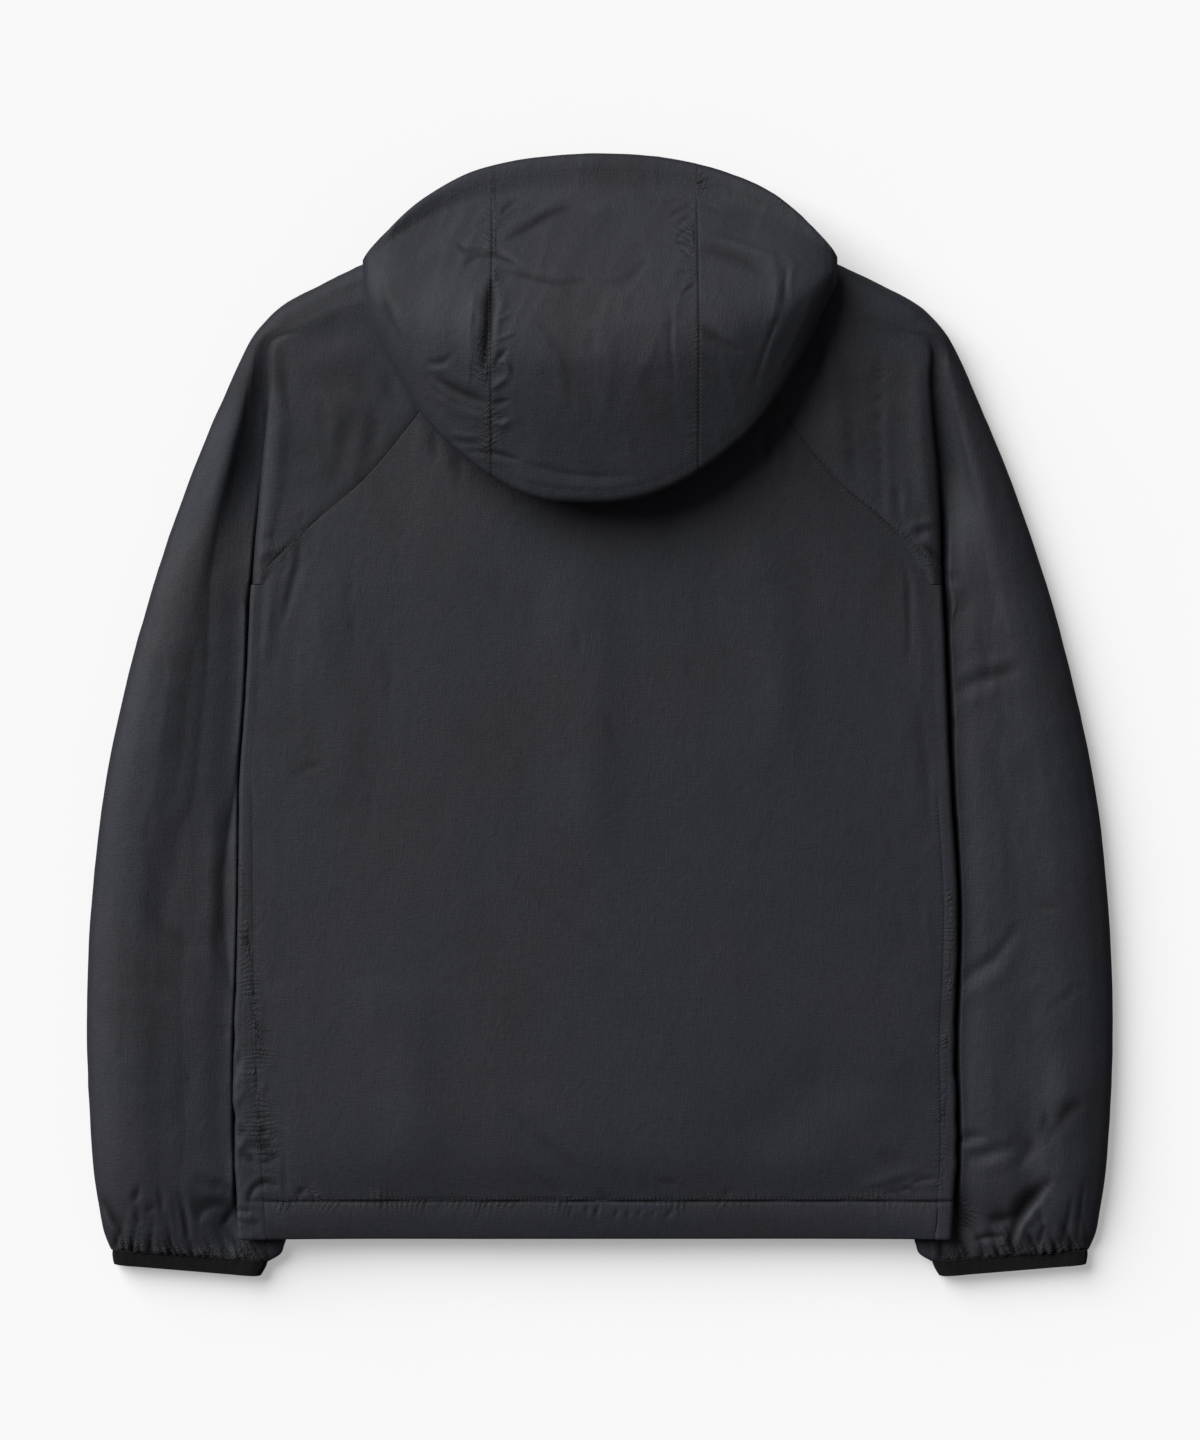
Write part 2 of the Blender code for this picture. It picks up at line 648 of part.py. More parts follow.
def cuff(side, name, binding):
    """The elastic binding: a flattened ring at the sleeve's end."""
    half = CUFF_THICK / 2
    rows = []
    for share in (0.0, 0.35, 0.75, 1.0):
        outer = np.array(CUFF_TOP_OUTER) * (1 - share) + np.array(CUFF_END_OUTER) * share
        inner = np.array(CUFF_TOP_INNER) * (1 - share) + np.array(CUFF_END_INNER) * share
        bulge = 0.0006 * np.sin(np.pi * share)
        arc = np.radians(np.linspace(-90, 90, 6))
        round_out = np.stack([outer[0] - half + (half + bulge) * np.cos(arc), half * np.sin(arc)], 1)
        arc = arc + np.pi
        round_in = np.stack([inner[0] + half + (half + bulge) * np.cos(arc), half * np.sin(arc)], 1)
        top = resampled([round_out[-1], round_in[0]], 7)
        bottom = resampled([round_in[-1], round_out[0]], 7)
        ring = np.concatenate([round_out, top[1:], round_in[1:], bottom[1:]])
        along = (ring[:, 0] - inner[0]) / (outer[0] - inner[0])
        y = inner[1] + (outer[1] - inner[1]) * along
        rows.append({"ring": plan(ring[:, 0], y, side, half + ring[:, 1])})
    return sheet(name, rows, CUFF_WALL, -side, binding)


# ---------------------------------------------------------------- hood

# Tables of (x, y) of the hood's outline seen from above.
HOOD_TOP_EDGE = (
    (-0.1810, 0.3330),
    (-0.1710, 0.3460),
    (-0.1575, 0.3610),
    (-0.1430, 0.3760),
    (-0.1245, 0.3905),
    (-0.0980, 0.4055),
    (-0.0710, 0.4135),
    (-0.0330, 0.4190),
    (0.0020, 0.4207),
    (0.0370, 0.4190),
    (0.0710, 0.4130),
    (0.0960, 0.4055),
    (0.1275, 0.3905),
    (0.1455, 0.3760),
    (0.1600, 0.3610),
    (0.1730, 0.3460),
    (0.1800, 0.3360),
)
HOOD_CROWN = (
    (-0.1810, 0.3240),
    (-0.1720, 0.2970),
    (-0.1530, 0.2590),
    (-0.1340, 0.2265),
    (-0.1095, 0.2006),
    (-0.0780, 0.1760),
    (-0.0495, 0.1630),
    (-0.0130, 0.1590),
    (0.0180, 0.1605),
    (0.0550, 0.1720),
    (0.0830, 0.1890),
    (0.1140, 0.2160),
    (0.1350, 0.2450),
    (0.1560, 0.2810),
    (0.1690, 0.3075),
    (0.1800, 0.3300),
)
SHOULDER_EDGE = tuple((distance, y) for y, distance in SLEEVE_OUTLINE[:6])
UPPER_PARTS = 12  # along the hood's upper face
LOWER_PARTS = 6  # along the face that lies on the back


def hood_height(share, x):
    """Height of the hood's upper face, from the crown's fold (share 0) to the rim (share 1)."""
    width = np.clip(np.abs(x) / HOOD_CORNER, 0.0, 1.0)
    full = (1 - width**2.4) ** 0.62
    rise = np.sin(np.pi / 2 * np.clip(share / 0.42, 0.0, 1.0)) ** 0.75
    fall = 1 - ease((share - 0.38) / 0.62)
    return full * rise * fall


def hood_frame(x):
    """Size of the hood at x (1 in the middle, 0 at its corners), and the y and z of its rim, of its
    crown's fold, and the height of the cloth that it lies on."""
    near = np.clip(abs(x) / HOOD_CORNER, 0.0, 1.0)
    size = (1 - near**4) ** 0.5
    rim_y, crown_y = smooth(HOOD_TOP_EDGE, x), smooth(HOOD_CROWN, x)
    base = float(back_height(x, np.clip(crown_y + 0.02, ARMPIT_Y, 0.33))) + LAYER_GAP
    crown_z = base + CROWN_RISE * (0.22 + 0.78 * size)
    rim_z = HOOD_RIM_HEIGHT + (crown_z - HOOD_RIM_HEIGHT) * near**4
    return size, rim_y, rim_z, crown_y, crown_z, base


def hood_row(x):
    """Outer face of the hood in the plane at x: the turned rim, then over the top and round the
    crown's fold, and back along its lower face to the neckline or over the shoulder."""
    size, rim_y, rim_z, crown_y, crown_z, base = hood_frame(x)
    turn, drop = RIM_TURN * size**1.5, 0.0085 * size**0.6
    casing = [
        (rim_y - turn, rim_z - 0.75 * drop),
        (rim_y - 0.50 * turn, rim_z - drop),
        (rim_y - 0.06 * turn, rim_z - 0.50 * drop),
        (rim_y, rim_z),
    ]
    upper = []
    for share in np.linspace(1.0, 0.0, UPPER_PARTS + 1) ** 1.35:
        y = crown_y + (rim_y - crown_y) * share
        edge = rim_z * share + crown_z * (1 - share)
        upper.append((y, edge + (HOOD_TOP - edge) * hood_height(share, x)))
    lying = [
        (crown_y + 0.0015 * size + 0.0004, base + 0.42 * (crown_z - base)),
        (crown_y + 0.0080 * size + 0.0022, base + 0.03 * (crown_z - base)),
    ]
    on_neck = abs(x) < NECK_SIDE[0] - 0.0005
    end = neck_edge(x) if on_neck else smooth(SHOULDER_EDGE, abs(x))
    last_flat = end - (0.004 if on_neck else 0.008)
    for y in np.linspace(crown_y + 0.018 * size + 0.005, last_flat, LOWER_PARTS + 1):
        lying.append((y, float(back_height(x, y)) + LAYER_GAP))
    if on_neck:
        lying.append((end + 0.0010, float(back_height(x, end)) + 0.0010))
    row = {"casing": casing, "hood": upper + lying}
    if not on_neck:
        fall = ease(size / 0.85)
        foot = lying[-1][1] * (1 - fall)
        row["droop"] = [
            lying[-1],
            (end + 0.0024 * fall, lying[-1][1] - 0.0090 * fall),
            (end + 0.0045 * fall, 0.5 * (lying[-1][1] + foot)),
            (end + 0.0052 * fall, foot + 0.008 * fall),
        ]
        row["chin"] = [row["droop"][-1], (end + 0.0095 * fall, foot)]
    if size == 0.0:
        row = {"hood": row["hood"]}
    elif size < 0.6:
        del row["casing"]
    return {name: np.insert(np.array(points), 0, x, axis=1) for name, points in row.items()}


def neck_edge(x):
    """y of the neckline across the back and the tops of the sleeves."""
    distance = abs(x)
    if distance < RAGLAN_BACK[0][0]:
        return back_neck(x)
    share = (distance - RAGLAN_BACK[0][0]) / (NECK_SIDE[0] - RAGLAN_BACK[0][0])
    return RAGLAN_BACK[0][1] + share * (NECK_SIDE[1] - RAGLAN_BACK[0][1])


def chin_row(side, distance):
    """The hood in front of the neck, on the floor, from the front neckline to its lower rim."""
    rise = RAGLAN_FRONT[0][1] - FRONT_NECK_Y
    start = FRONT_NECK_Y + rise * min((distance - ZIP_HALF) / NECK_REACH, 1.0) ** 2
    start += NECK_SLOPE * max(distance - RAGLAN_FRONT[0][0], 0.0)
    y = line([start + NECK_GAP], [lower_rim(distance)], 0.030)[:, 0]
    return plan(distance, y, side, 0.0)


def lower_rim(distance):
    """y of the face opening's lower edge."""
    return 0.350 + 0.026 * (distance / NECK_SIDE[0]) ** 2


def hood_side(side, name, shell):
    """A side panel, from its corner to the seam with the middle panel, and to the zip below."""
    rows = [
        hood_row(side * distance)
        for distance in np.linspace(HOOD_CORNER, NECK_SIDE[0], 7)
    ]
    seam = abs(HOOD_SEAM[side]) + SEAM_GAP / 2
    for distance in (0.090, seam):
        rows.append(hood_row(side * distance) | {"chin": chin_row(side, distance)})
    for distance in (0.056, 0.038, 0.021, ZIP_HALF):
        rows.append({"chin": chin_row(side, distance)})
    return sheet(name, rows, WALL, side, shell)


def hood_middle(name, shell):
    seams = HOOD_SEAM[-1] + SEAM_GAP / 2, HOOD_SEAM[1] - SEAM_GAP / 2
    rows = [hood_row(x) for x in np.linspace(*seams, 8)]
    return sheet(name, rows, WALL, -1, shell)


# ---------------------------------------------------------------- zip

ZIP_TOP = lower_rim(0.0) - 0.001
CHAIN_HALF = 0.0027
CHAIN_Z = (0.0010, 0.0030)
TAPE_Z = WALL + 0.0003
TAPE_THICK = 0.0006
TAPE_WIDTH = 0.012
SLIDER_SIZE = (0.0062, 0.0100, 0.0031)  # width, length, height
TAB_SIZE = (0.0040, 0.0240, 0.0008)


def box(name, low, high, material):
    """A block between two corners."""
    mesh = bpy.data.meshes.new(name)
    shape = bmesh.new()
    bmesh.ops.create_cube(shape, size=1.0)
    size = [b - a for a, b in zip(low, high)]
    middle = [(a + b) / 2 for a, b in zip(low, high)]
    bmesh.ops.scale(shape, vec=size, verts=shape.verts)
    bmesh.ops.translate(shape, vec=middle, verts=shape.verts)
    shape.to_mesh(mesh)
    shape.free()
    return add_object(name, mesh, material)


def front_zip(tape, coil, metal):
    """Zip between the fronts: two tapes behind them, the closed chain and its slider at the top."""
    slider_low = ZIP_TOP - SLIDER_SIZE[1]
    for side, name in ((-1, "zip_tape_left"), (1, "zip_tape_right")):
        near, far = side * (CHAIN_HALF + SEAM_GAP), side * (CHAIN_HALF + TAPE_WIDTH)
        low = (min(near, far), HEM_BOTTOM + HEM_HEIGHT + 0.001, TAPE_Z)
        high = (max(near, far), FRONT_NECK_Y + 0.060, TAPE_Z + TAPE_THICK)
        box(name, low, high, tape)
    box(
        "zip_chain",
        (-CHAIN_HALF, HEM_BOTTOM + 0.001, CHAIN_Z[0]),
        (CHAIN_HALF, slider_low - SEAM_GAP, CHAIN_Z[1]),
        coil,
    )
    body = box(
        "zip_slider",
        (-SLIDER_SIZE[0] / 2, slider_low, 0.0),
        (SLIDER_SIZE[0] / 2, ZIP_TOP, SLIDER_SIZE[2]),
        metal,
    )
    tab = box(
        "zip_tab_guide",
        (-TAB_SIZE[0] / 2, slider_low + 0.003 - TAB_SIZE[1], 0.0),
        (TAB_SIZE[0] / 2, slider_low + 0.003, TAB_SIZE[2]),
        metal,
    )
    tab.hide_render = True
    tab.display_type = "WIRE"
    join = body.modifiers.new("tab", "BOOLEAN")
    join.operation = "UNION"
    join.object = tab


# ---------------------------------------------------------------- jacket


def new_material(name, colour, roughness, metallic):
    material = bpy.data.materials.new(name)
    material.use_nodes = True
    shader = material.node_tree.nodes["Principled BSDF"]
    shader.inputs["Base Color"].default_value = colour
    shader.inputs["Roughness"].default_value = roughness
    shader.inputs["Metallic"].default_value = metallic
    return material


def build():
    for obj in list(bpy.data.objects):
        bpy.data.objects.remove(obj)
    collection = bpy.data.collections.new("windbreaker_jacket")
    bpy.context.scene.collection.children.link(collection)
    made = {name: new_material(name, *look) for name, look in MATERIALS.items()}
    shell = made["shell"]
    back_panel(shell)
    hem_back(shell)
    for side, word in ((-1, "left"), (1, "right")):
        front_panel(side, f"front_{word}", shell)
        hem_front(side, f"hem_front_{word}", shell)
        sleeve(side, f"sleeve_{word}", shell)
        cuff(side, f"cuff_{word}", made["binding"])
        hood_side(side, f"hood_{word}", shell)
    hood_middle("hood_middle", shell)
    front_zip(made["zip_tape"], made["zip_coil"], made["zip_slider"])


build()
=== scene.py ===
"""Looks of the hooded windbreaker jacket, laid out flat on its front.

Metres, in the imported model's frame: +Z is up from the floor, +Y points from hem to hood, and +X is
the wearer's right. Each garment piece repeats its CAD solid's named sizes and section tables, is
woven into a fine grid, and gets its creases, puckers and gathers by moving the grid's points.
"""

import bmesh
import bpy
import numpy as np
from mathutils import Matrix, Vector
from mathutils.bvhtree import BVHTree


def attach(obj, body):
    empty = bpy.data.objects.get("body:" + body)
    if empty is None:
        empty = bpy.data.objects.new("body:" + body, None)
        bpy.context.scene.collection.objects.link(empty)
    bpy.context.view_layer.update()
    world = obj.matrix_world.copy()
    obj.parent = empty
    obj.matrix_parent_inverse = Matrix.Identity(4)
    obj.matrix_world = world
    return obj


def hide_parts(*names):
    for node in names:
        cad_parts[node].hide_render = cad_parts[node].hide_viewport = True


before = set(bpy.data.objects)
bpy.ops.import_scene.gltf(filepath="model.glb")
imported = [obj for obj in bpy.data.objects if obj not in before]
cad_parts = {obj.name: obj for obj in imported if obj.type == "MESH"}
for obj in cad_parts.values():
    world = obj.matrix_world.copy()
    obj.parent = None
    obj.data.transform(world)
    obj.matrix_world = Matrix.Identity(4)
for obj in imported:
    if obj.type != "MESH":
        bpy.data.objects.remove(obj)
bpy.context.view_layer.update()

# Cloth
WALL = 0.0014  # of the CAD's shell cloth
SEAM_GAP = 0.00002
NECK_GAP = 0.0016  # at the front neckline
LAYER_GAP = 0.0016  # between cloths that lie on each other

# Body, seen from above
HEM_BOTTOM = -0.3915
HEM_HEIGHT = 0.029
HEM_SEAM = HEM_BOTTOM + HEM_HEIGHT
ARMPIT_Y = 0.098
BACK_NECK_Y = 0.344  # at the middle
FRONT_NECK_Y = 0.262
NECK_REACH = 0.0685  # from the zip to the front neckline's end
ZIP_HALF = 0.0036  # from the middle to each front's edge
BODY_HALF = 0.262

# Body, from the side
SIDE_TOP = 0.0255
MIDDLE_TOP = 0.031
HEM_DROP = 0.009
HEM_DROP_LENGTH = 0.075
SLEEVE_UNDER = 0.0120  # top of the sleeve where the body lies on it
FRONT_LIFT = SLEEVE_UNDER + LAYER_GAP
EDGE_ROUND = 0.0062  # how far the body's rounded side reaches in from its edge
UNDERARM_HEIGHT = 0.62  # the underarm seam's place on the sleeve's inner edge, as a share
ARMPIT_EASE = 0.0014  # more gap in the front raglan seam, beside the armpit
ARMPIT_SEAM_Z = 0.0078  # highest place of the sleeve's front raglan seam, under the armpit

# Hood
HOOD_TOP = 0.083
HOOD_RIM_HEIGHT = 0.021
HOOD_CORNER = 0.1765  # where its sides close to a point
HOOD_SEAM = {-1: -0.0800, 1: 0.0725}
CROWN_RISE = 0.034  # of the crown's fold, over the cloth that it lies on
RIM_TURN = 0.015
NECK_SIDE = (0.098, 0.368)
NECK_SLOPE = 2.6  # of the neckline at the front end of a sleeve

# Cuff, seen from above: the ends of its two edges, as (distance from the middle, y)
CUFF_TOP_OUTER = (0.3670, -0.4010)
CUFF_TOP_INNER = (0.2490, -0.4095)
CUFF_END_OUTER = (0.3660, -0.4115)
CUFF_END_INNER = (0.2545, -0.4207)
CUFF_THICK = 0.0135
GATHERS = 17  # on each face of a sleeve's end
FOLDS = 8  # among them

ROW_STEP = 0.023  # usual distance between points along a row
BODY_ROWS = 17  # from the hem seam to the armpit

# Tables of (y, distance from the middle).
SLEEVE_OUTLINE = (
    (0.3680, 0.0980), (0.3560, 0.1400), (0.3375, 0.1800), (0.3160, 0.2240), (0.3010, 0.2475),
    (0.2870, 0.2590), (0.2670, 0.2700), (0.2370, 0.2835), (0.1770, 0.3080), (0.1170, 0.3295),
    (0.0570, 0.3470), (-0.0030, 0.3615), (-0.0630, 0.3730), (-0.1230, 0.3800), (-0.1830, 0.3840),
    (-0.2230, 0.3850), (-0.2630, 0.3843), (-0.3030, 0.3825), (-0.3430, 0.3795), (-0.3730, 0.3745),
    (-0.4010, 0.3670),
)
SLEEVE_INNER = (
    (0.0980, 0.2475), (0.0850, 0.2430), (0.0700, 0.2360), (0.0300, 0.2250), (-0.0300, 0.2170),
    (-0.1500, 0.2120), (-0.2500, 0.2150), (-0.3300, 0.2220), (-0.3700, 0.2290), (-0.3950, 0.2366),
    (-0.4030, 0.2392), (-0.4070, 0.2430), (-0.4092, 0.2485),
)
BODY_EDGE = {
    -1: (
        (-0.3915, 0.2705), (-0.3470, 0.2720), (-0.2510, 0.2730), (-0.1800, 0.2710),
        (-0.1040, 0.2695), (-0.0460, 0.2690), (0.0160, 0.2645), (0.0980, 0.2605), (0.1640, 0.2545),
        (0.2380, 0.2480), (0.2780, 0.2440),
    ),
    1: (
        (-0.3915, 0.2625), (-0.3280, 0.2660), (-0.2370, 0.2645), (-0.1990, 0.2660),
        (-0.1420, 0.2670), (-0.0650, 0.2625), (0.0160, 0.2590), (0.0980, 0.2560), (0.1680, 0.2540),
        (0.2320, 0.2480), (0.2870, 0.2455),
    ),
}
# How far the side seam lies in from the body's edge, on the upper face.
SIDE_SEAM_IN = {
    -1: (
        (-0.3915, 0.0215), (-0.3000, 0.0185), (-0.1750, 0.0120), (0.0980, 0.0095),
    ),
    1: (
        (-0.3915, 0.0125), (-0.2500, 0.0110), (0.0980, 0.0095),
    ),
}
# Raglan seams as (distance from the middle, y), neckline to armpit.
RAGLAN_BACK = (
    (0.0780, 0.3500), (0.0880, 0.3100), (0.1080, 0.2670), (0.1420, 0.2180), (0.1790, 0.1740),
    (0.2180, 0.1410),
)
RAGLAN_FRONT = (
    (0.0750, 0.3180), (0.0930, 0.2800), (0.1250, 0.2300), (0.1750, 0.1720), (0.2200, 0.1280),
    (0.2460, 0.0980),
)
FRONT_NECK_SHARES = (0.045, 0.09, 0.165, 0.21)  # more rows of the fronts, at the neckline
# Sleeve rows from the neck to the armpit. share: place along both raglan seams; fold and outline:
# y where the row crosses the shoulder fold and the outline; crease: how far the cloth drops behind
# the fold, as a share; tuck: how far it runs back under the fold, as a share; crest: the arm's top.
SHOULDER_ROWS = (
    # share  fold    outline  crease  tuck  crest
    (0.00, None, 0.3680, 0.00, 0.00, 0.0250),
    (0.12, None, 0.3570, 0.00, 0.00, 0.0265),
    (0.25, None, 0.3420, 0.00, 0.00, 0.0270),
    (0.37, None, 0.3240, 0.00, 0.00, 0.0270),
    (0.48, None, 0.3050, 0.00, 0.00, 0.0265),
    (0.58, 0.2780, 0.2850, 0.18, 0.00, 0.0240),
    (0.67, 0.2500, 0.2620, 0.50, 0.00, 0.0230),
    (0.76, 0.2200, 0.2330, 0.80, 0.20, 0.0230),
    (0.84, 0.1880, 0.2000, 1.00, 0.45, 0.0238),
    (0.91, 0.1530, 0.1640, 1.00, 0.70, 0.0245),
    (0.96, 0.1240, 0.1320, 1.00, 0.88, 0.0250),
    (1.00, 0.0986, 0.0986, 1.00, 1.00, 0.0250),
)
# Sleeve rows below the armpit. outer, inner: y at the outline and at the inner edge; crest: top
# of the arm; valley: height beside the body; edge: height of the inner fold.
ARM_ROWS = (
    # outer   inner     crest   valley  edge
    (0.0850, 0.0850, 0.0252, 0.0120, 0.0120),
    (0.0670, 0.0660, 0.0254, 0.0120, 0.0120),
    (0.0400, 0.0380, 0.0256, 0.0120, 0.0120),
    (0.0080, 0.0070, 0.0256, 0.0120, 0.0120),
    (-0.0270, -0.0270, 0.0254, 0.0118, 0.0120),
    (-0.0630, -0.0630, 0.0250, 0.0112, 0.0120),
    (-0.1000, -0.1000, 0.0246, 0.0104, 0.0118),
    (-0.1380, -0.1380, 0.0242, 0.0100, 0.0116),
    (-0.1760, -0.1760, 0.0240, 0.0102, 0.0114),
    (-0.2130, -0.2130, 0.0240, 0.0108, 0.0114),
    (-0.2500, -0.2500, 0.0242, 0.0112, 0.0114),
    (-0.2850, -0.2850, 0.0244, 0.0114, 0.0114),
    (-0.3180, -0.3190, 0.0244, 0.0112, 0.0114),
    (-0.3430, -0.3450, 0.0238, 0.0108, 0.0114),
    (-0.3620, -0.3650, 0.0224, 0.0106, 0.0112),
    (-0.3780, -0.3820, 0.0200, 0.0108, 0.0112),
    (-0.3910, -0.3970, 0.0172, 0.0122, 0.0120),
    (-0.3960, -0.4035, 0.0154, 0.0127, 0.0121),
    (-0.4007, -0.4092, 0.0138, 0.0130, 0.0122),
)
# Soft folds on the upper face: name, start and end as (x, y), half width, and height (minus: a
# trough).
SOFT_FOLDS = (
    ("back_below_hood_left", (-0.205, 0.115), (-0.192, -0.070), 0.014, 0.0016),
    ("back_below_hood_right", (0.118, 0.150), (0.138, -0.040), 0.016, 0.0014),
    ("back_middle", (-0.020, 0.140), (0.004, -0.130), 0.024, 0.0018),
    ("back_low_left", (-0.165, -0.180), (-0.120, -0.345), 0.022, 0.0018),
    ("back_low_right", (0.080, -0.340), (0.200, -0.250), 0.022, -0.0016),
    ("shoulder_left", (-0.190, 0.290), (-0.200, 0.180), 0.014, 0.0018),
    ("shoulder_right", (0.185, 0.290), (0.178, 0.170), 0.014, 0.0018),
    ("arm_left_low", (-0.272, -0.372), (-0.318, -0.352), 0.008, -0.0040),
    ("arm_left_elbow", (-0.285, -0.085), (-0.345, -0.140), 0.016, -0.0022),
    ("arm_right_elbow", (0.268, 0.010), (0.330, 0.028), 0.012, -0.0030),
    ("arm_right_low", (0.275, -0.335), (0.330, -0.312), 0.010, -0.0034),
    ("arm_right_slant", (0.292, -0.388), (0.338, -0.338), 0.009, -0.0040),
    ("arm_right_upper", (0.330, -0.300), (0.372, -0.255), 0.012, 0.0022),
)

# Cloth of this model, inside the CAD's walls
CLOTH = 0.0008
HEM_CLOTH = 0.0030
CUFF_CLOTH = 0.0017
COARSER = 1.0  # of the woven grids

# Stitches and zip
STITCH_PITCH = 0.0030
STITCH_LENGTH = 0.0023
STITCH_RADIUS = 0.00021
# Rings of a stitch: place along it, and its width and its rise as shares of the radius
STITCH_RINGS = ((0.0, 0.4, -0.5), (0.2, 1.0, 0.2), (0.8, 1.0, 0.2), (1.0, 0.4, -0.5))
TOOTH_PITCH = 0.0014

# Colours
SHELL_COLOUR = (0.0143, 0.0151, 0.0211, 1.0)
BINDING_COLOUR = (0.0052, 0.0052, 0.0056, 1.0)
TAPE_COLOUR = (0.0165, 0.0175, 0.0200, 1.0)
THREAD_COLOUR = (0.014, 0.015, 0.018, 1.0)
COIL_COLOUR = (0.018, 0.018, 0.020, 1.0)
SLIDER_COLOUR = (0.060, 0.061, 0.066, 1.0)
FLOOR_COLOUR = (0.60, 0.60, 0.60, 1.0)
WHITE = (1.0, 1.0, 1.0, 1.0)

# Light
FLOOR_GLOW = 0.32
WORLD_LIGHT = 0.13
KEY_LIGHT = 5.3
KEY_ANGLE = 52.0
KEY_FROM = (-0.70, 0.62, 0.60)
CAMERA_AT = (0.0, -0.003, 3.012)

# ---------------------------------------------------------------- curves


def between(t, span, i, values, slopes):
    """On the smooth curve from values[i] to values[i + 1], a span apart, at the share t of it."""
    start = (1 + 2 * t) * (1 - t) ** 2 * values[i] + t * (1 - t) ** 2 * span * slopes[i]
    end = t * t * (3 - 2 * t) * values[i + 1] + t * t * (t - 1) * span * slopes[i + 1]
    return start + end


def smooth(table, at):
    """The value of a (key, value) table at a key, on a smooth curve through its rows."""
    table = np.array(table, float)
    keys, values = table[np.argsort(table[:, 0])].T
    slopes = np.gradient(values, keys)
    i = np.clip(np.searchsorted(keys, at) - 1, 0, len(keys) - 2)
    span = keys[i + 1] - keys[i]
    return between(np.clip((at - keys[i]) / span, 0.0, 1.0), span, i, values, slopes)


def ease(t):
    """0 to 1 with a soft start and end."""
    t = np.clip(t, 0.0, 1.0)
    return t * t * (3 - 2 * t)


def lengths_along(points):
    steps = np.linalg.norm(np.diff(points, axis=0), axis=1)
    return np.concatenate([[0.0], np.cumsum(steps)])


def spline(points, parts):
    """A smooth curve through the points, each span cut into its number of parts."""
    points = np.array(points, float)
    parts = np.broadcast_to(parts, len(points) - 1)
    keys = lengths_along(points)
    cuts = [
        np.linspace(keys[i], keys[i + 1], parts[i], endpoint=False) for i in range(len(parts))
    ]
    fine = np.concatenate([*cuts, keys[-1:]])
    return np.stack([smooth(np.stack([keys, c], 1), fine) for c in points.T], axis=1)


def resampled(points, count):
    """The same line with count evenly spaced points."""
    points = np.array(points, float)
    along = lengths_along(points)
    at = np.linspace(0.0, along[-1], count)
    return np.stack([np.interp(at, along, c) for c in points.T], axis=1)


def line(start, end, step=ROW_STEP):
    """Evenly spaced points from start to end, about a step apart."""
    start, end = np.array(start, float), np.array(end, float)
    count = max(2, int(round(np.linalg.norm(end - start) / step)) + 1)
    return start + (end - start) * np.linspace(0.0, 1.0, count)[:, None]


def seam_point(table, share, shift):
    """The plan point at a share of a seam's length, moved sideways by shift towards the sleeve."""
    fine = spline(table, 12)
    along = lengths_along(fine)
    point = np.array([np.interp(share * along[-1], along, c) for c in fine.T])
    near = np.clip(share * along[-1] + np.array([-0.004, 0.004]), 0.0, along[-1])
    ends = np.array([[np.interp(n, along, c) for c in fine.T] for n in near])
    run = (ends[1] - ends[0]) / np.linalg.norm(ends[1] - ends[0])
    return point + shift * np.array([-run[1], run[0]])


# ---------------------------------------------------------------- heights


def folds(x, y):
    """How far the soft folds lift the upper face at a plan point."""
    x, y = np.broadcast_arrays(x, y)
    lift = 0.0
    for _, start, end, width, height in SOFT_FOLDS:
        start, end = np.array(start), np.array(end)
        run = end - start
        offset = np.stack([x - start[0], y - start[1]], axis=-1)
        t = np.clip(offset @ run / (run @ run), 0.0, 1.0)
        off = np.linalg.norm(offset - t[..., None] * run, axis=-1)
        fade = ease(4 * t) * ease(4 * (1 - t))
        lift = lift + height * fade * np.exp(-((off / width) ** 2))
    return lift


def back_height(x, y):
    """Top of the back, and of the shoulders that carry on from it."""
    across = np.minimum(np.abs(x) / BODY_HALF, 1.0)
    height = SIDE_TOP + (MIDDLE_TOP - SIDE_TOP) * (1 - across**2)
    drop = ease((HEM_BOTTOM + HEM_DROP_LENGTH - y) / HEM_DROP_LENGTH)
    return height - HEM_DROP * drop * (1 - across**4) + folds(x, y)


def front_height(distance, y):
    """Underside of a front: on the floor, but lifted where a sleeve lies under it."""
    inner = smooth(SLEEVE_INNER, np.minimum(y, ARMPIT_Y))
    lift = ease((distance - inner + 0.024) / 0.028)
    above_armpit = 1 - ease((y - ARMPIT_Y) / 0.080)
    return FRONT_LIFT * lift * above_armpit


def plan(distance, y, side, z):
    """Points from distances out from the middle, on one side of the jacket."""
    distance, y, z = np.broadcast_arrays(distance, y, z)
    return np.stack([side * distance, y, z], axis=-1)


# ---------------------------------------------------------------- body


def body_rows_y():
    """y of the rows that the back and the fronts share, from the hem seam to the armpit."""
    return np.linspace(HEM_SEAM + SEAM_GAP / 2, ARMPIT_Y - SEAM_GAP / 2, BODY_ROWS)


def side_seam(side, y):
    """Distance of the side seam from the middle."""
    return smooth(BODY_EDGE[side], y) - smooth(SIDE_SEAM_IN[side], y)


def raglan_back(side):
    """The back raglan seam, ended at this side's armpit."""
    return (*RAGLAN_BACK, (side_seam(side, ARMPIT_Y), ARMPIT_Y))


def raglan_shares():
    return [row[0] for row in SHOULDER_ROWS]


def seam_chord(table, share, shift):
    """seam_point, but on the straight lines between the sleeve's rows."""
    shares = raglan_shares()
    points = np.array([seam_point(table, s, shift) for s in shares])
    return np.array([np.interp(share, shares, c) for c in points.T])


def back_neck(x):
    rise = RAGLAN_BACK[0][1] - BACK_NECK_Y
    return BACK_NECK_Y + rise * (x / RAGLAN_BACK[0][0]) ** 2


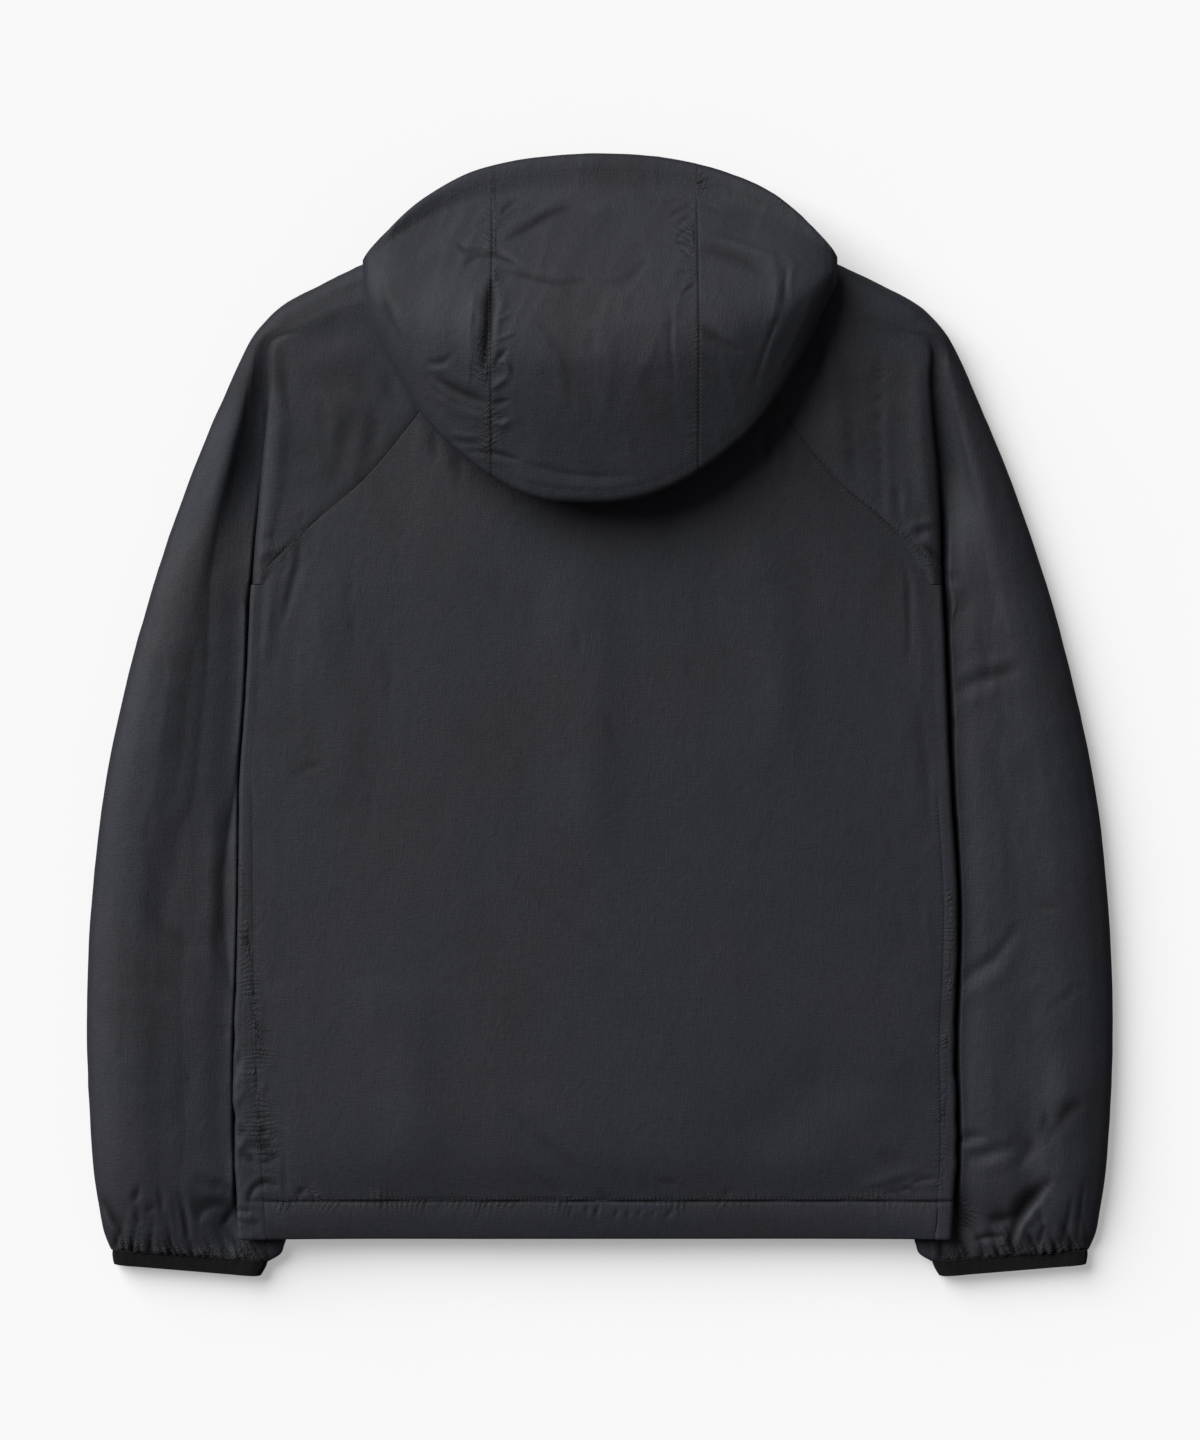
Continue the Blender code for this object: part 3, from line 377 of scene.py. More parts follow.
def side_wrap(side, y, seam):
    """Cloth round the body's side, from under its edge to the side seam on top."""
    edge = smooth(BODY_EDGE[side], y)
    top = back_height(side * (edge - EDGE_ROUND), y)
    bottom = front_height(edge - EDGE_ROUND, y)
    wrap = side_round(edge, top, bottom)
    flat = line([edge - EDGE_ROUND], [seam], 0.009)[1:, 0]
    on_top = plan(flat, y, side, back_height(side * flat, y))
    return np.concatenate([plan(wrap[::-1, 0], y, side, wrap[::-1, 1]), on_top])


def side_round(edge, top, bottom):
    """The body's rounded side as (distance, height), from its top to its bottom."""
    angles = np.radians(np.linspace(90, -90, 6))
    distance = edge - EDGE_ROUND * (1 - np.cos(angles))
    return np.stack([distance, (top + bottom) / 2 + (top - bottom) / 2 * np.sin(angles)], 1)


def front_under(side, y, start, end):
    """Cloth of a front on the floor, from the zip or neckline out to a distance."""
    distance = line([start], [end])[:, 0]
    return plan(distance, y, side, front_height(distance, y))


def front_neck(y):
    """Distance of the front neckline from the middle."""
    rise = RAGLAN_FRONT[0][1] - FRONT_NECK_Y
    return ZIP_HALF + NECK_REACH * np.sqrt(np.clip((y - FRONT_NECK_Y) / rise, 0.0, 1.0))


def front_body_row(side, y):
    """A row of a front or its hem, from the zip round the body's side to the side seam."""
    edge = smooth(BODY_EDGE[side], y)
    inner = smooth(SLEEVE_INNER, y) if y < ARMPIT_Y - 0.001 else RAGLAN_FRONT[-1][0]
    return {
        "under": front_under(side, y, ZIP_HALF, inner),
        "tucked": front_under(side, y, inner, edge - EDGE_ROUND),
        "wrap": side_wrap(side, y, side_seam(side, y) + SEAM_GAP / 2),
    }


# ---------------------------------------------------------------- sleeves


def arm_profile(reach, top, crease, tuck, crest):
    """The arm's section outside the shoulder fold, as (distance from the fold, height): round the
    fold and back under it, then out over the arm to the floor."""
    small = min(1.0, reach / 0.060)
    bottom = top - crease * (top - FRONT_LIFT)
    valley = top - crease * (top - SLEEVE_UNDER)
    round_side = side_round(0.0, top, bottom)
    level = np.linspace(-EDGE_ROUND, 0.6 * EDGE_ROUND, len(round_side))
    round_side[:, 0] = crease * round_side[:, 0] + (1 - crease) * level
    round_side[:, 0] *= max(small, 0.75)
    pocket = round_side[-1, 0] - 0.0005
    turn = (1 - crease) * 0.0085 * small + crease * pocket - tuck
    arm = spline(
        (
            (turn, valley),
            (0.5 * turn + 0.0090 * small, valley),
            (0.0240 * small, 0.4 * valley + 0.6 * crest),
        ),
        1,
    )
    if turn < pocket:
        turned = [(turn, bottom), (turn - 0.0008, (bottom + valley) / 2)]
    else:
        shares = np.array([[1 / 3], [2 / 3]])
        turned = round_side[-1] * (1 - shares) + arm[0] * shares
    fold = np.concatenate([round_side, turned])
    over = ((0.50 * reach, crest), (reach - 0.013 * small, 0.90 * crest))
    return fold, np.array([*arm, *over, *outer_edge(reach, crest, small)])


def outer_edge(reach, crest, small=1.0):
    """The rounded outer edge of a sleeve, down to the floor."""
    return (
        (reach - 0.0035 * small, 0.68 * crest),
        (reach, 0.40 * crest),
        (reach - 0.0035 * small, 0.12 * crest),
        (reach - 0.0120 * small, 0.0),
    )


def shoulder_row(side, share, fold_y, outline_y, crease, tuck, crest):
    """A sleeve row from the back raglan seam over the shoulder to the front raglan seam."""
    start = seam_point(raglan_back(side), share, SEAM_GAP / 2)
    end = seam_point(RAGLAN_FRONT, share, SEAM_GAP / 2 + ARMPIT_EASE * ease((share - 0.8) / 0.1))
    outline = np.array([smooth(SLEEVE_OUTLINE, outline_y), outline_y])
    if fold_y is None:
        run = outline - start
        fold = outline - run * min(0.056 * (1 - share) / np.linalg.norm(run), 0.8)
    else:
        fold = np.array([smooth(BODY_EDGE[side], fold_y), fold_y])
    reach = np.linalg.norm(outline - fold)
    out = (outline - fold) / reach
    top = float(back_height(side * (fold[0] - EDGE_ROUND), fold[1]))
    armpit = smooth(BODY_EDGE[side], ARMPIT_Y) - RAGLAN_FRONT[-1][0]
    depth = max(armpit - EDGE_ROUND - 0.0035, 0.0)
    rows = {}
    for name, profile in zip(("fold", "arm"), arm_profile(reach, top, crease, tuck * depth, crest)):
        xy = fold + profile[:, :1] * out
        upper = ease((profile[:, 0] - 0.012) / 0.010) * ease((profile[:, 1] - 0.008) / 0.004)
        lift = folds(side * xy[:, 0], xy[:, 1]) * upper
        rows[name] = plan(xy[:, 0], xy[:, 1], side, profile[:, 1] + lift)
    rows["fold"] = np.concatenate([rows["fold"], rows["arm"][:1]])
    first, last = rows["fold"][0] * (side, 1, 1), rows["arm"][-1] * (side, 1, 1)
    shoulder_xy = line(start, first[:2])
    shoulder_z = back_height(side * shoulder_xy[:, 0], shoulder_xy[:, 1])
    shoulder_z[-1] = first[2]
    rows["shoulder"] = plan(shoulder_xy[:, 0], shoulder_xy[:, 1], side, shoulder_z)
    under_xy = line(last[:2], end)
    from_seam = np.linalg.norm(under_xy - end, axis=1)
    rise = 0.030 - 0.020 * ease((share - 0.8) / 0.2)
    seam_z = min(float(front_height(*end)), ARMPIT_SEAM_Z)
    under_z = seam_z * ease(1 - from_seam / rise)
    rows["under"] = plan(under_xy[:, 0], under_xy[:, 1], side, under_z)
    return rows


def arm_row(side, outer_y, inner_y, crest, valley, edge_height):
    """A sleeve row below the armpit: a flattened tube, open by a gap at its underarm seam."""
    outer = smooth(SLEEVE_OUTLINE, outer_y)
    inner = smooth(SLEEVE_INNER, inner_y)
    body = smooth(BODY_EDGE[side], max(inner_y, HEM_BOTTOM))
    seam_z = UNDERARM_HEIGHT * edge_height
    beside = max(body + 0.006, inner + 0.025)
    top = (
        (inner, seam_z),
        (inner, seam_z + 0.0012),
        (inner + 0.0014, 0.90 * edge_height),
        (inner + 0.0050, edge_height),
        (0.5 * (inner + 0.005 + beside), 0.5 * (edge_height + valley)),
        (beside, valley),
        (beside + 0.018, 0.34 * valley + 0.66 * crest),
        (0.54 * beside + 0.46 * outer, crest),
        (outer - 0.013, 0.90 * crest),
        *outer_edge(outer, crest),
    )
    bottom = (
        (outer - 0.0120, 0.0),
        (0.5 * (outer + inner), 0.0),
        (inner + 0.0075, 0.0),
        (inner + 0.0014, 0.22 * edge_height),
        (inner, seam_z - 0.0018),
        (inner, seam_z - SEAM_GAP),
    )
    arm = spline(top, (1, 1, 1, 1, 2, 1, 2, 2, 1, 1, 1, 1))
    under = spline(bottom, (3, 3, 1, 1, 1))
    rows = {}
    for name, section in (("arm", arm), ("under", under)):
        share = (section[:, 0] - inner) / (outer - inner)
        y = inner_y + (outer_y - inner_y) * share
        upper = ease((section[:, 1] - 0.008) / 0.004) * ease((section[:, 0] - body) / 0.012)
        lift = folds(side * section[:, 0], y) * upper
        rows[name] = plan(section[:, 0], y, side, np.maximum(section[:, 1] + lift, 0.0))
    return rows


def cuff_rows(side):
    """The elastic binding: a flattened ring at the sleeve's end."""
    half = CUFF_THICK / 2
    rows = []
    for share in (0.0, 0.35, 0.75, 1.0):
        outer = np.array(CUFF_TOP_OUTER) * (1 - share) + np.array(CUFF_END_OUTER) * share
        inner = np.array(CUFF_TOP_INNER) * (1 - share) + np.array(CUFF_END_INNER) * share
        bulge = 0.0006 * np.sin(np.pi * share)
        arc = np.radians(np.linspace(-90, 90, 6))
        round_out = np.stack([outer[0] - half + (half + bulge) * np.cos(arc), half * np.sin(arc)], 1)
        arc = arc + np.pi
        round_in = np.stack([inner[0] + half + (half + bulge) * np.cos(arc), half * np.sin(arc)], 1)
        top = resampled([round_out[-1], round_in[0]], 7)
        bottom = resampled([round_in[-1], round_out[0]], 7)
        ring = np.concatenate([round_out, top[1:], round_in[1:], bottom[1:]])
        along = (ring[:, 0] - inner[0]) / (outer[0] - inner[0])
        y = inner[1] + (outer[1] - inner[1]) * along
        rows.append({"ring": plan(ring[:, 0], y, side, half + ring[:, 1])})
    return rows


# ---------------------------------------------------------------- hood


# Tables of (x, y) of the hood's outline seen from above.
HOOD_TOP_EDGE = (
    (-0.1810, 0.3330), (-0.1710, 0.3460), (-0.1575, 0.3610), (-0.1430, 0.3760), (-0.1245, 0.3905),
    (-0.0980, 0.4055), (-0.0710, 0.4135), (-0.0330, 0.4190), (0.0020, 0.4207), (0.0370, 0.4190),
    (0.0710, 0.4130), (0.0960, 0.4055), (0.1275, 0.3905), (0.1455, 0.3760), (0.1600, 0.3610),
    (0.1730, 0.3460), (0.1800, 0.3360),
)
HOOD_CROWN = (
    (-0.1810, 0.3240), (-0.1720, 0.2970), (-0.1530, 0.2590), (-0.1340, 0.2265), (-0.1095, 0.2006),
    (-0.0780, 0.1760), (-0.0495, 0.1630), (-0.0130, 0.1590), (0.0180, 0.1605), (0.0550, 0.1720),
    (0.0830, 0.1890), (0.1140, 0.2160), (0.1350, 0.2450), (0.1560, 0.2810), (0.1690, 0.3075),
    (0.1800, 0.3300),
)
SHOULDER_EDGE = tuple((distance, y) for y, distance in SLEEVE_OUTLINE[:6])
UPPER_PARTS = 12  # along the hood's upper face
LOWER_PARTS = 6  # along the face that lies on the back


def hood_height(share, x):
    """Height of the hood's upper face, from the crown's fold (share 0) to the rim (share 1)."""
    width = np.clip(np.abs(x) / HOOD_CORNER, 0.0, 1.0)
    full = (1 - width**2.4) ** 0.62
    rise = np.sin(np.pi / 2 * np.clip(share / 0.42, 0.0, 1.0)) ** 0.75
    fall = 1 - ease((share - 0.38) / 0.62)
    return full * rise * fall


def hood_frame(x):
    """Size of the hood at x (1 in the middle, 0 at its corners), and the y and z of its rim, of its
    crown's fold, and the height of the cloth that it lies on."""
    near = np.clip(abs(x) / HOOD_CORNER, 0.0, 1.0)
    size = (1 - near**4) ** 0.5
    rim_y, crown_y = smooth(HOOD_TOP_EDGE, x), smooth(HOOD_CROWN, x)
    base = float(back_height(x, np.clip(crown_y + 0.02, ARMPIT_Y, 0.33))) + LAYER_GAP
    crown_z = base + CROWN_RISE * (0.22 + 0.78 * size)
    rim_z = HOOD_RIM_HEIGHT + (crown_z - HOOD_RIM_HEIGHT) * near**4
    return size, rim_y, rim_z, crown_y, crown_z, base


def hood_row(x):
    """Outer face of the hood in the plane at x: the turned rim, then over the top and round the
    crown's fold, and back along its lower face to the neckline or over the shoulder."""
    size, rim_y, rim_z, crown_y, crown_z, base = hood_frame(x)
    turn, drop = RIM_TURN * size**1.5, 0.0085 * size**0.6
    casing = [
        (rim_y - turn, rim_z - 0.75 * drop),
        (rim_y - 0.50 * turn, rim_z - drop),
        (rim_y - 0.06 * turn, rim_z - 0.50 * drop),
        (rim_y, rim_z),
    ]
    upper = []
    for share in np.linspace(1.0, 0.0, UPPER_PARTS + 1) ** 1.35:
        y = crown_y + (rim_y - crown_y) * share
        edge = rim_z * share + crown_z * (1 - share)
        upper.append((y, edge + (HOOD_TOP - edge) * hood_height(share, x)))
    lying = [
        (crown_y + 0.0015 * size + 0.0004, base + 0.42 * (crown_z - base)),
        (crown_y + 0.0080 * size + 0.0022, base + 0.03 * (crown_z - base)),
    ]
    on_neck = abs(x) < NECK_SIDE[0] - 0.0005
    end = neck_edge(x) if on_neck else smooth(SHOULDER_EDGE, abs(x))
    last_flat = end - (0.004 if on_neck else 0.008)
    for y in np.linspace(crown_y + 0.018 * size + 0.005, last_flat, LOWER_PARTS + 1):
        lying.append((y, float(back_height(x, y)) + LAYER_GAP))
    if on_neck:
        lying.append((end + 0.0010, float(back_height(x, end)) + 0.0010))
    row = {"casing": casing, "hood": upper + lying[:2], "lying": lying[1:]}
    if not on_neck:
        fall = ease(size / 0.85)
        foot = lying[-1][1] * (1 - fall)
        row["droop"] = [
            lying[-1],
            (end + 0.0024 * fall, lying[-1][1] - 0.0090 * fall),
            (end + 0.0045 * fall, 0.5 * (lying[-1][1] + foot)),
            (end + 0.0052 * fall, foot + 0.008 * fall),
        ]
        row["chin"] = [row["droop"][-1], (end + 0.0095 * fall, foot)]
    if size == 0.0:
        row = {name: row[name] for name in ("hood", "lying")}
    elif size < 0.6:
        del row["casing"]
    return {name: np.insert(np.array(points), 0, x, axis=1) for name, points in row.items()}


def neck_edge(x):
    """y of the neckline across the back and the tops of the sleeves."""
    distance = abs(x)
    if distance < RAGLAN_BACK[0][0]:
        return back_neck(x)
    share = (distance - RAGLAN_BACK[0][0]) / (NECK_SIDE[0] - RAGLAN_BACK[0][0])
    return RAGLAN_BACK[0][1] + share * (NECK_SIDE[1] - RAGLAN_BACK[0][1])


def chin_row(side, distance):
    """The hood in front of the neck, on the floor, from the front neckline to its lower rim."""
    rise = RAGLAN_FRONT[0][1] - FRONT_NECK_Y
    start = FRONT_NECK_Y + rise * min((distance - ZIP_HALF) / NECK_REACH, 1.0) ** 2
    start += NECK_SLOPE * max(distance - RAGLAN_FRONT[0][0], 0.0)
    y = line([start + NECK_GAP], [lower_rim(distance)], 0.030)[:, 0]
    return plan(distance, y, side, 0.0)


def lower_rim(distance):
    """y of the face opening's lower edge."""
    return 0.350 + 0.026 * (distance / NECK_SIDE[0]) ** 2


# ---------------------------------------------------------------- zip sizes


ZIP_TOP = lower_rim(0.0) - 0.001
CHAIN_HALF = 0.0027
CHAIN_Z = (0.0010, 0.0030)
TAPE_Z = WALL + 0.0003
TAPE_THICK = 0.0006
TAPE_WIDTH = 0.012
SLIDER_SIZE = (0.0062, 0.0100, 0.0031)  # width, length, height
SLIDER_LOW = ZIP_TOP - SLIDER_SIZE[1]
TAB_SIZE = (0.0040, 0.0240, 0.0008)


# ---------------------------------------------------------------- creases, in mm


# Creases of each part, a row for each: half width, height (minus: a trough), and the points that it
# runs through, in mm. The points were read off the photograph, to about a millimetre.
CREASES = {
    "hood": (
        (3.8, -3.2, (-80, 324), (-82, 286), (-86, 252)),
        (6.0, 1.1, (-92, 315), (-95, 282), (-94, 255)),
        (2.8, -1.5, (-100, 332), (-90, 340), (-79, 341), (-61, 334)),
        (2.5, -1.2, (-106, 351), (-100, 346), (-82, 347)),
        (2.6, 0.6, (-100, 352), (-90, 356), (-80, 357)),
        (3.4, -0.9, (-78, 329), (-58, 326), (-30, 319), (-6, 321)),
        (4.0, -0.6, (0, 319), (19, 322), (36, 338)),
        (2.2, -1.4, (-73, 374), (-67, 380), (-58, 385)),
        (3.4, -1.3, (-70, 352), (-52, 363), (-38, 372), (-20, 380)),
        (4.2, 0.9, (-76, 357), (-52, 371), (-30, 384), (-12, 392)),
        (8.0, 0.7, (-9, 375), (15, 383), (41, 384)),
        (2.2, 0.8, (-76, 290), (-70, 293), (-64, 297)),
        (2.2, 0.8, (-76, 275), (-69, 278), (-62, 281)),
        (2.0, -1.2, (-77, 256), (-73, 263), (-68, 269)),
        (2.2, 1.0, (-76, 261), (-69, 259), (-66, 249)),
        (3.2, 1.1, (-80, 240), (-73, 244), (-67, 249)),
        (3.2, 1.3, (-80, 217), (-72, 214), (-66, 218)),
        (2.6, -1.2, (-80, 229), (-73, 230), (-67, 232)),
        (3.5, -1.9, (-121, 248), (-104, 238), (-82, 229)),
        (4.0, 1.0, (-118, 236), (-104, 227), (-84, 218)),
        (2.6, -0.8, (-124, 242), (-111, 231), (-96, 222)),
        (2.6, -1.3, (-99, 195), (-83, 194), (-58, 188)),
        (2.2, 0.8, (-111, 208), (-98, 206), (-84, 206)),
        (2.0, -0.8, (-112, 203), (-98, 201), (-85, 200)),
        (2.4, -0.8, (-127, 260), (-116, 260), (-108, 266)),
        (2.4, 0.4, (-129, 254), (-120, 254), (-111, 255)),
        (2.0, 0.6, (-98, 262), (-96, 254), (-97, 243)),
        (3.6, 0.6, (76, 359), (96, 352), (116, 345), (130, 340)),
        (7.5, -0.9, (77, 345), (101, 339), (122, 326)),
        (4.6, 0.5, (128, 344), (130, 312), (124, 279)),
        (2.8, 0.4, (135, 344), (142, 336), (140, 314), (143, 305)),
        (4.0, 0.3, (149, 312), (128, 278), (118, 249)),
        (3.4, 0.3, (158, 314), (144, 278), (128, 249)),
        (3.0, -0.8, (137, 332), (136, 315), (135, 300)),
        (3.0, -0.6, (133, 298), (123, 273), (113, 242)),
        (4.0, -1.2, (74, 286), (84, 278), (104, 267)),
        (6.0, 0.4, (77, 297), (92, 288), (106, 282)),
        (3.0, -0.7, (53, 300), (52, 273), (55, 244)),
        (6.0, 0.4, (46, 290), (34, 258), (22, 236)),
        (3.6, 0.3, (-73, 179), (-30, 170), (9, 169), (48, 177)),
        (3.6, -0.6, (-60, 187), (-22, 178), (20, 176)),
        (5.0, 0.5, (-154, 312), (-144, 278), (-128, 249)),
        (4.0, -0.7, (-162, 320), (-156, 296), (-144, 273)),
        (7.0, 0.5, (-135, 340), (-116, 352), (-98, 370)),
        (6.0, -0.5, (-45, 290), (-26, 258), (-20, 222)),
        (7.0, 0.4, (0, 290), (8, 252), (0, 214)),
        (1.7, -0.9, (72, 394), (63, 394), (51, 390)),
        (1.7, -1.0, (71, 388), (62, 386), (48, 381)),
        (1.8, -1.0, (70, 380), (62, 377), (51, 370)),
        (1.7, -0.9, (70, 372), (63, 369), (56, 362)),
        (1.7, -0.9, (70, 362), (63, 359), (57, 352)),
        (2.0, -1.3, (70, 348), (63, 350), (56, 350)),
        (1.8, -1.2, (70, 339), (65, 341), (60, 346)),
        (1.9, -1.2, (71, 328), (64, 327), (56, 325)),
        (1.7, -0.8, (71, 318), (65, 314), (60, 309)),
        (1.7, 0.7, (74, 386), (87, 385), (99, 381)),
        (1.7, -0.8, (74, 380), (84, 378), (92, 374)),
        (1.7, 0.6, (74, 394), (86, 392), (96, 390)),
        (1.7, -0.8, (-76, 394), (-69, 399), (-62, 405)),
        (1.7, -0.8, (-80, 383), (-87, 381), (-94, 376)),
        (1.7, -0.8, (-80, 370), (-86, 368), (-92, 363)),
    ),
    "body": (
        (6.0, -1.5, (-236, 274), (-236, 248), (-232, 224)),
        (8.0, 0.5, (-224, 276), (-223, 234)),
        (4.0, 1.0, (-174, 236), (-180, 200), (-187, 172)),
        (4.0, -0.9, (-166, 238), (-170, 207), (-176, 188)),
        (5.0, -0.7, (-190, 238), (-194, 200), (-203, 168)),
        (4.0, 0.4, (-185, 255), (-190, 213)),
        (3.0, -0.5, (-209, 243), (-208, 214), (-206, 186)),
        (4.0, -0.9, (-158, 260), (-157, 244), (-155, 231)),
        (1.7, -1.2, (-223, 149), (-222, 144), (-220, 139)),
        (3.2, -1.3, (-227, 138), (-226, 117), (-231, 96), (-237, 69)),
        (2.0, -0.8, (-236, 122), (-235, 112), (-236, 104)),
        (5.0, 0.7, (-242, 118), (-246, 86), (-250, 39)),
        (2.4, -1.2, (-254, 130), (-248, 133), (-241, 134)),
        (2.4, 1.0, (-256, 117), (-250, 123), (-238, 125)),
        (2.0, -0.7, (-254, 112), (-250, 115), (-244, 118)),
        (2.0, 0.7, (-259, 101), (-255, 104), (-250, 108)),
        (1.7, -0.6, (-186, 118), (-186, 93), (-184, 63), (-183, 48)),
        (3.0, -0.4, (-160, 58), (-158, 27), (-159, 3)),
        (3.0, 0.7, (-134, 219), (-133, 210), (-131, 200)),
        (3.0, -1.0, (-124, 215), (-124, 202), (-122, 188)),
        (3.0, 0.4, (-115, 207), (-113, 183)),
        (4.0, -0.8, (-105, 195), (-104, 171)),
        (4.0, 0.7, (132, 219), (133, 200), (134, 177)),
        (5.0, -0.9, (124, 222), (124, 202), (125, 182)),
        (5.0, 0.4, (148, 219), (151, 182)),
        (2.3, -1.3, (211, 288), (207, 251), (208, 201), (210, 144)),
        (5.0, 0.5, (217, 284), (215, 200), (218, 159)),
        (3.6, 1.0, (169, 301), (172, 255), (177, 226), (183, 166)),
        (4.0, -0.8, (162, 284), (164, 267), (166, 249)),
        (3.6, -0.9, (182, 231), (187, 200), (191, 170)),
        (3.0, -1.0, (220, 173), (222, 158), (224, 144)),
        (3.0, 0.5, (228, 178), (227, 148)),
        (3.0, 0.6, (226, 134), (234, 142), (250, 146)),
        (2.4, -1.2, (236, 135), (244, 139), (254, 140)),
        (2.6, 0.4, (230, 125), (244, 131), (254, 131)),
        (2.7, -2.0, (242, 126), (249, 120), (256, 113)),
        (2.7, 0.6, (234, 114), (244, 108), (254, 96)),
        (2.7, -0.9, (225, 120), (229, 105), (231, 72), (230, 39)),
        (5.0, 0.4, (235, 106), (238, 72), (240, 9)),
        (6.0, -0.6, (238, 12), (244, -40), (248, -93)),
        (2.0, -0.4, (52, 159), (52, 134)),
        (1.7, -0.5, (-16, 67), (-16, 52), (-14, 38)),
        (2.0, -0.7, (-227, -45), (-219, -38), (-210, -37), (-200, -43)),
        (2.0, -0.4, (-167, -40), (-174, -76), (-176, -92)),
        (2.0, -0.4, (64, -32), (69, -48)),
        (2.0, -0.4, (102, -48), (109, -65)),
        (2.0, -0.4, (115, -87), (118, -106)),
        (3.0, -0.5, (6, 8), (10, -14), (16, -34)),
        (2.0, 0.4, (15, -56), (10, -62), (6, -68)),
        (4.0, -0.5, (-76, -112), (-30, -149), (21, -188)),
        (5.0, -0.6, (-73, -290), (-41, -318), (2, -350)),
        (8.0, 0.6, (-60, -280), (-26, -309), (15, -340)),
        (2.2, -1.0, (-1, -353), (3, -358), (8, -362)),
        (3.0, -0.7, (-49, -340), (-38, -351), (-26, -359)),
        (3.0, -0.7, (33, -339), (34, -359)),
        (4.0, -0.7, (58, -350), (50, -349), (42, -346)),
        (2.4, -0.7, (98, -352), (94, -356), (90, -361)),
        (1.6, -1.3, (0, -364), (-2, -369), (-3, -376)),
        (1.6, -0.9, (-21, -366), (-22, -370), (-23, -376)),
        (2.0, -1.0, (55, -367), (52, -371), (48, -375)),
        (1.6, -0.8, (-9, -365), (-10, -374)),
        (1.6, -0.9, (14, -368), (10, -375)),
        (1.6, -0.8, (22, -368), (20, -376)),
        (1.6, -0.9, (32, -367), (28, -375)),
        (1.6, -0.8, (41, -368), (38, -375)),
        (2.0, -1.2, (233, -350), (241, -346), (250, -346)),
        (2.0, -1.2, (224, -355), (231, -353), (238, -359)),
        (5.0, 0.8, (194, -352), (218, -345), (242, -338)),
        (6.0, -0.6, (208, -325), (229, -332)),
        (2.0, -0.8, (213, -358), (219, -356), (226, -361)),
        (3.0, -2.3, (-263, -363), (-258, -352), (-251, -348), (-240, -351)),
        (3.2, -2.4, (-272, -328), (-264, -329), (-256, -334)),
        (2.8, -1.7, (-251, -333), (-246, -331), (-240, -329)),
        (2.8, -1.6, (-266, -320), (-255, -319), (-244, -321)),
        (2.0, 1.1, (-271, -331), (-268, -322), (-264, -315)),
        (2.4, -0.6, (-235, -318), (-235, -339), (-235, -361)),
        (2.8, -1.7, (-226, -361), (-224, -356), (-220, -352)),
        (2.8, -1.8, (-266, -165), (-263, -170), (-260, -176)),
        (2.0, -1.0, (-269, -161), (-266, -160), (-262, -160)),
        (2.0, -1.0, (-257, -159), (-255, -157), (-253, -154)),
        (2.8, -1.9, (-268, -252), (-271, -261), (-272, -274)),
        (2.2, 0.8, (-265, -278), (-268, -285), (-272, -292)),
        (2.2, 0.8, (-255, -284), (-251, -278), (-248, -273)),
        (3.0, -2.0, (-273, -312), (-268, -311), (-263, -310)),
        (2.4, -1.5, (-271, -368), (-265, -370), (-260, -368)),
        (2.0, 0.6, (-272, -374), (-261, -374), (-250, -376)),
        (2.4, -1.0, (-272, -377), (-262, -379), (-253, -379)),
        (1.8, -0.5, (-272, -383), (-262, -384), (-253, -384)),
    ),
    "arm": (
        (7.0, -2.2, (-270, -20), (-274, -51), (-279, -79), (-284, -114), (-285, -140),
         (-284, -166), (-280, -194), (-276, -215)),
        (4.0, -1.0, (-274, -230), (-275, -300), (-274, -345)),
        (7.0, 0.8, (-290, -60), (-292, -142), (-293, -200)),
        (2.2, -1.0, (-292, -162), (-289, -169), (-286, -177)),
        (4.0, -0.4, (-335, -69), (-338, -97)),
        (2.8, -0.8, (-310, -268), (-307, -273), (-303, -279)),
        (3.0, -0.7, (-292, -233), (-286, -236), (-280, -236)),
        (7.0, 0.3, (-318, 50), (-328, -18), (-336, -100)),
        (7.0, -0.5, (-303, 57), (-310, -3), (-316, -63)),
        (7.0, -0.7, (-338, -138), (-319, -164), (-296, -179)),
        (8.0, 0.3, (-338, -202), (-315, -222), (-291, -226)),
        (3.4, -2.2, (-304, -346), (-290, -350), (-271, -359)),
        (4.6, 0.3, (-302, -356), (-288, -361), (-273, -368)),
        (3.6, -1.2, (-301, -380), (-297, -371), (-291, -368), (-282, -368)),
        (3.6, -1.6, (-284, -382), (-279, -376), (-274, -368)),
        (3.0, -2.0, (-350, -364), (-346, -358), (-344, -352)),
        (2.6, -1.5, (-347, -369), (-346, -375), (-344, -381)),
        (3.0, -1.4, (-340, -371), (-336, -368), (-332, -365)),
        (2.6, -1.8, (-316, -354), (-312, -367), (-310, -380), (-309, -394)),
        (3.2, 0.5, (-310, -357), (-306, -374), (-304, -390)),
        (2.4, -0.9, (-331, -350), (-328, -362), (-328, -372)),
        (3.2, 0.5, (-324, -356), (-321, -372), (-320, -390)),
        (3.0, -1.6, (-268, -408), (-271, -398), (-278, -389)),
        (4.2, -3.0, (-374, -362), (-367, -374), (-360, -386), (-357, -400)),
        (2.4, -2.0, (256, 110), (264, 104), (274, 101)),
        (5.0, -1.6, (266, 18), (283, 26), (314, 37)),
        (4.0, 0.5, (268, 30), (289, 37), (314, 45)),
        (3.0, -2.0, (262, 2), (266, -4), (268, -11)),
        (5.0, 0.5, (267, 4), (279, 10), (292, 14)),
        (1.8, -0.8, (269, -69), (280, -68), (292, -68)),
        (4.0, -1.5, (268, -73), (269, -81), (271, -90)),
        (2.0, -0.5, (322, -146), (334, -142), (348, -144)),
        (4.4, -1.5, (267, -208), (280, -194), (294, -182), (314, -154)),
        (6.5, 0.5, (272, -217), (289, -202), (309, -186)),
        (2.2, -1.1, (335, -219), (345, -212), (356, -204), (365, -202)),
        (6.0, 0.3, (314, -207), (326, -201), (336, -194)),
        (7.0, 0.3, (292, 117), (308, 57), (315, -3)),
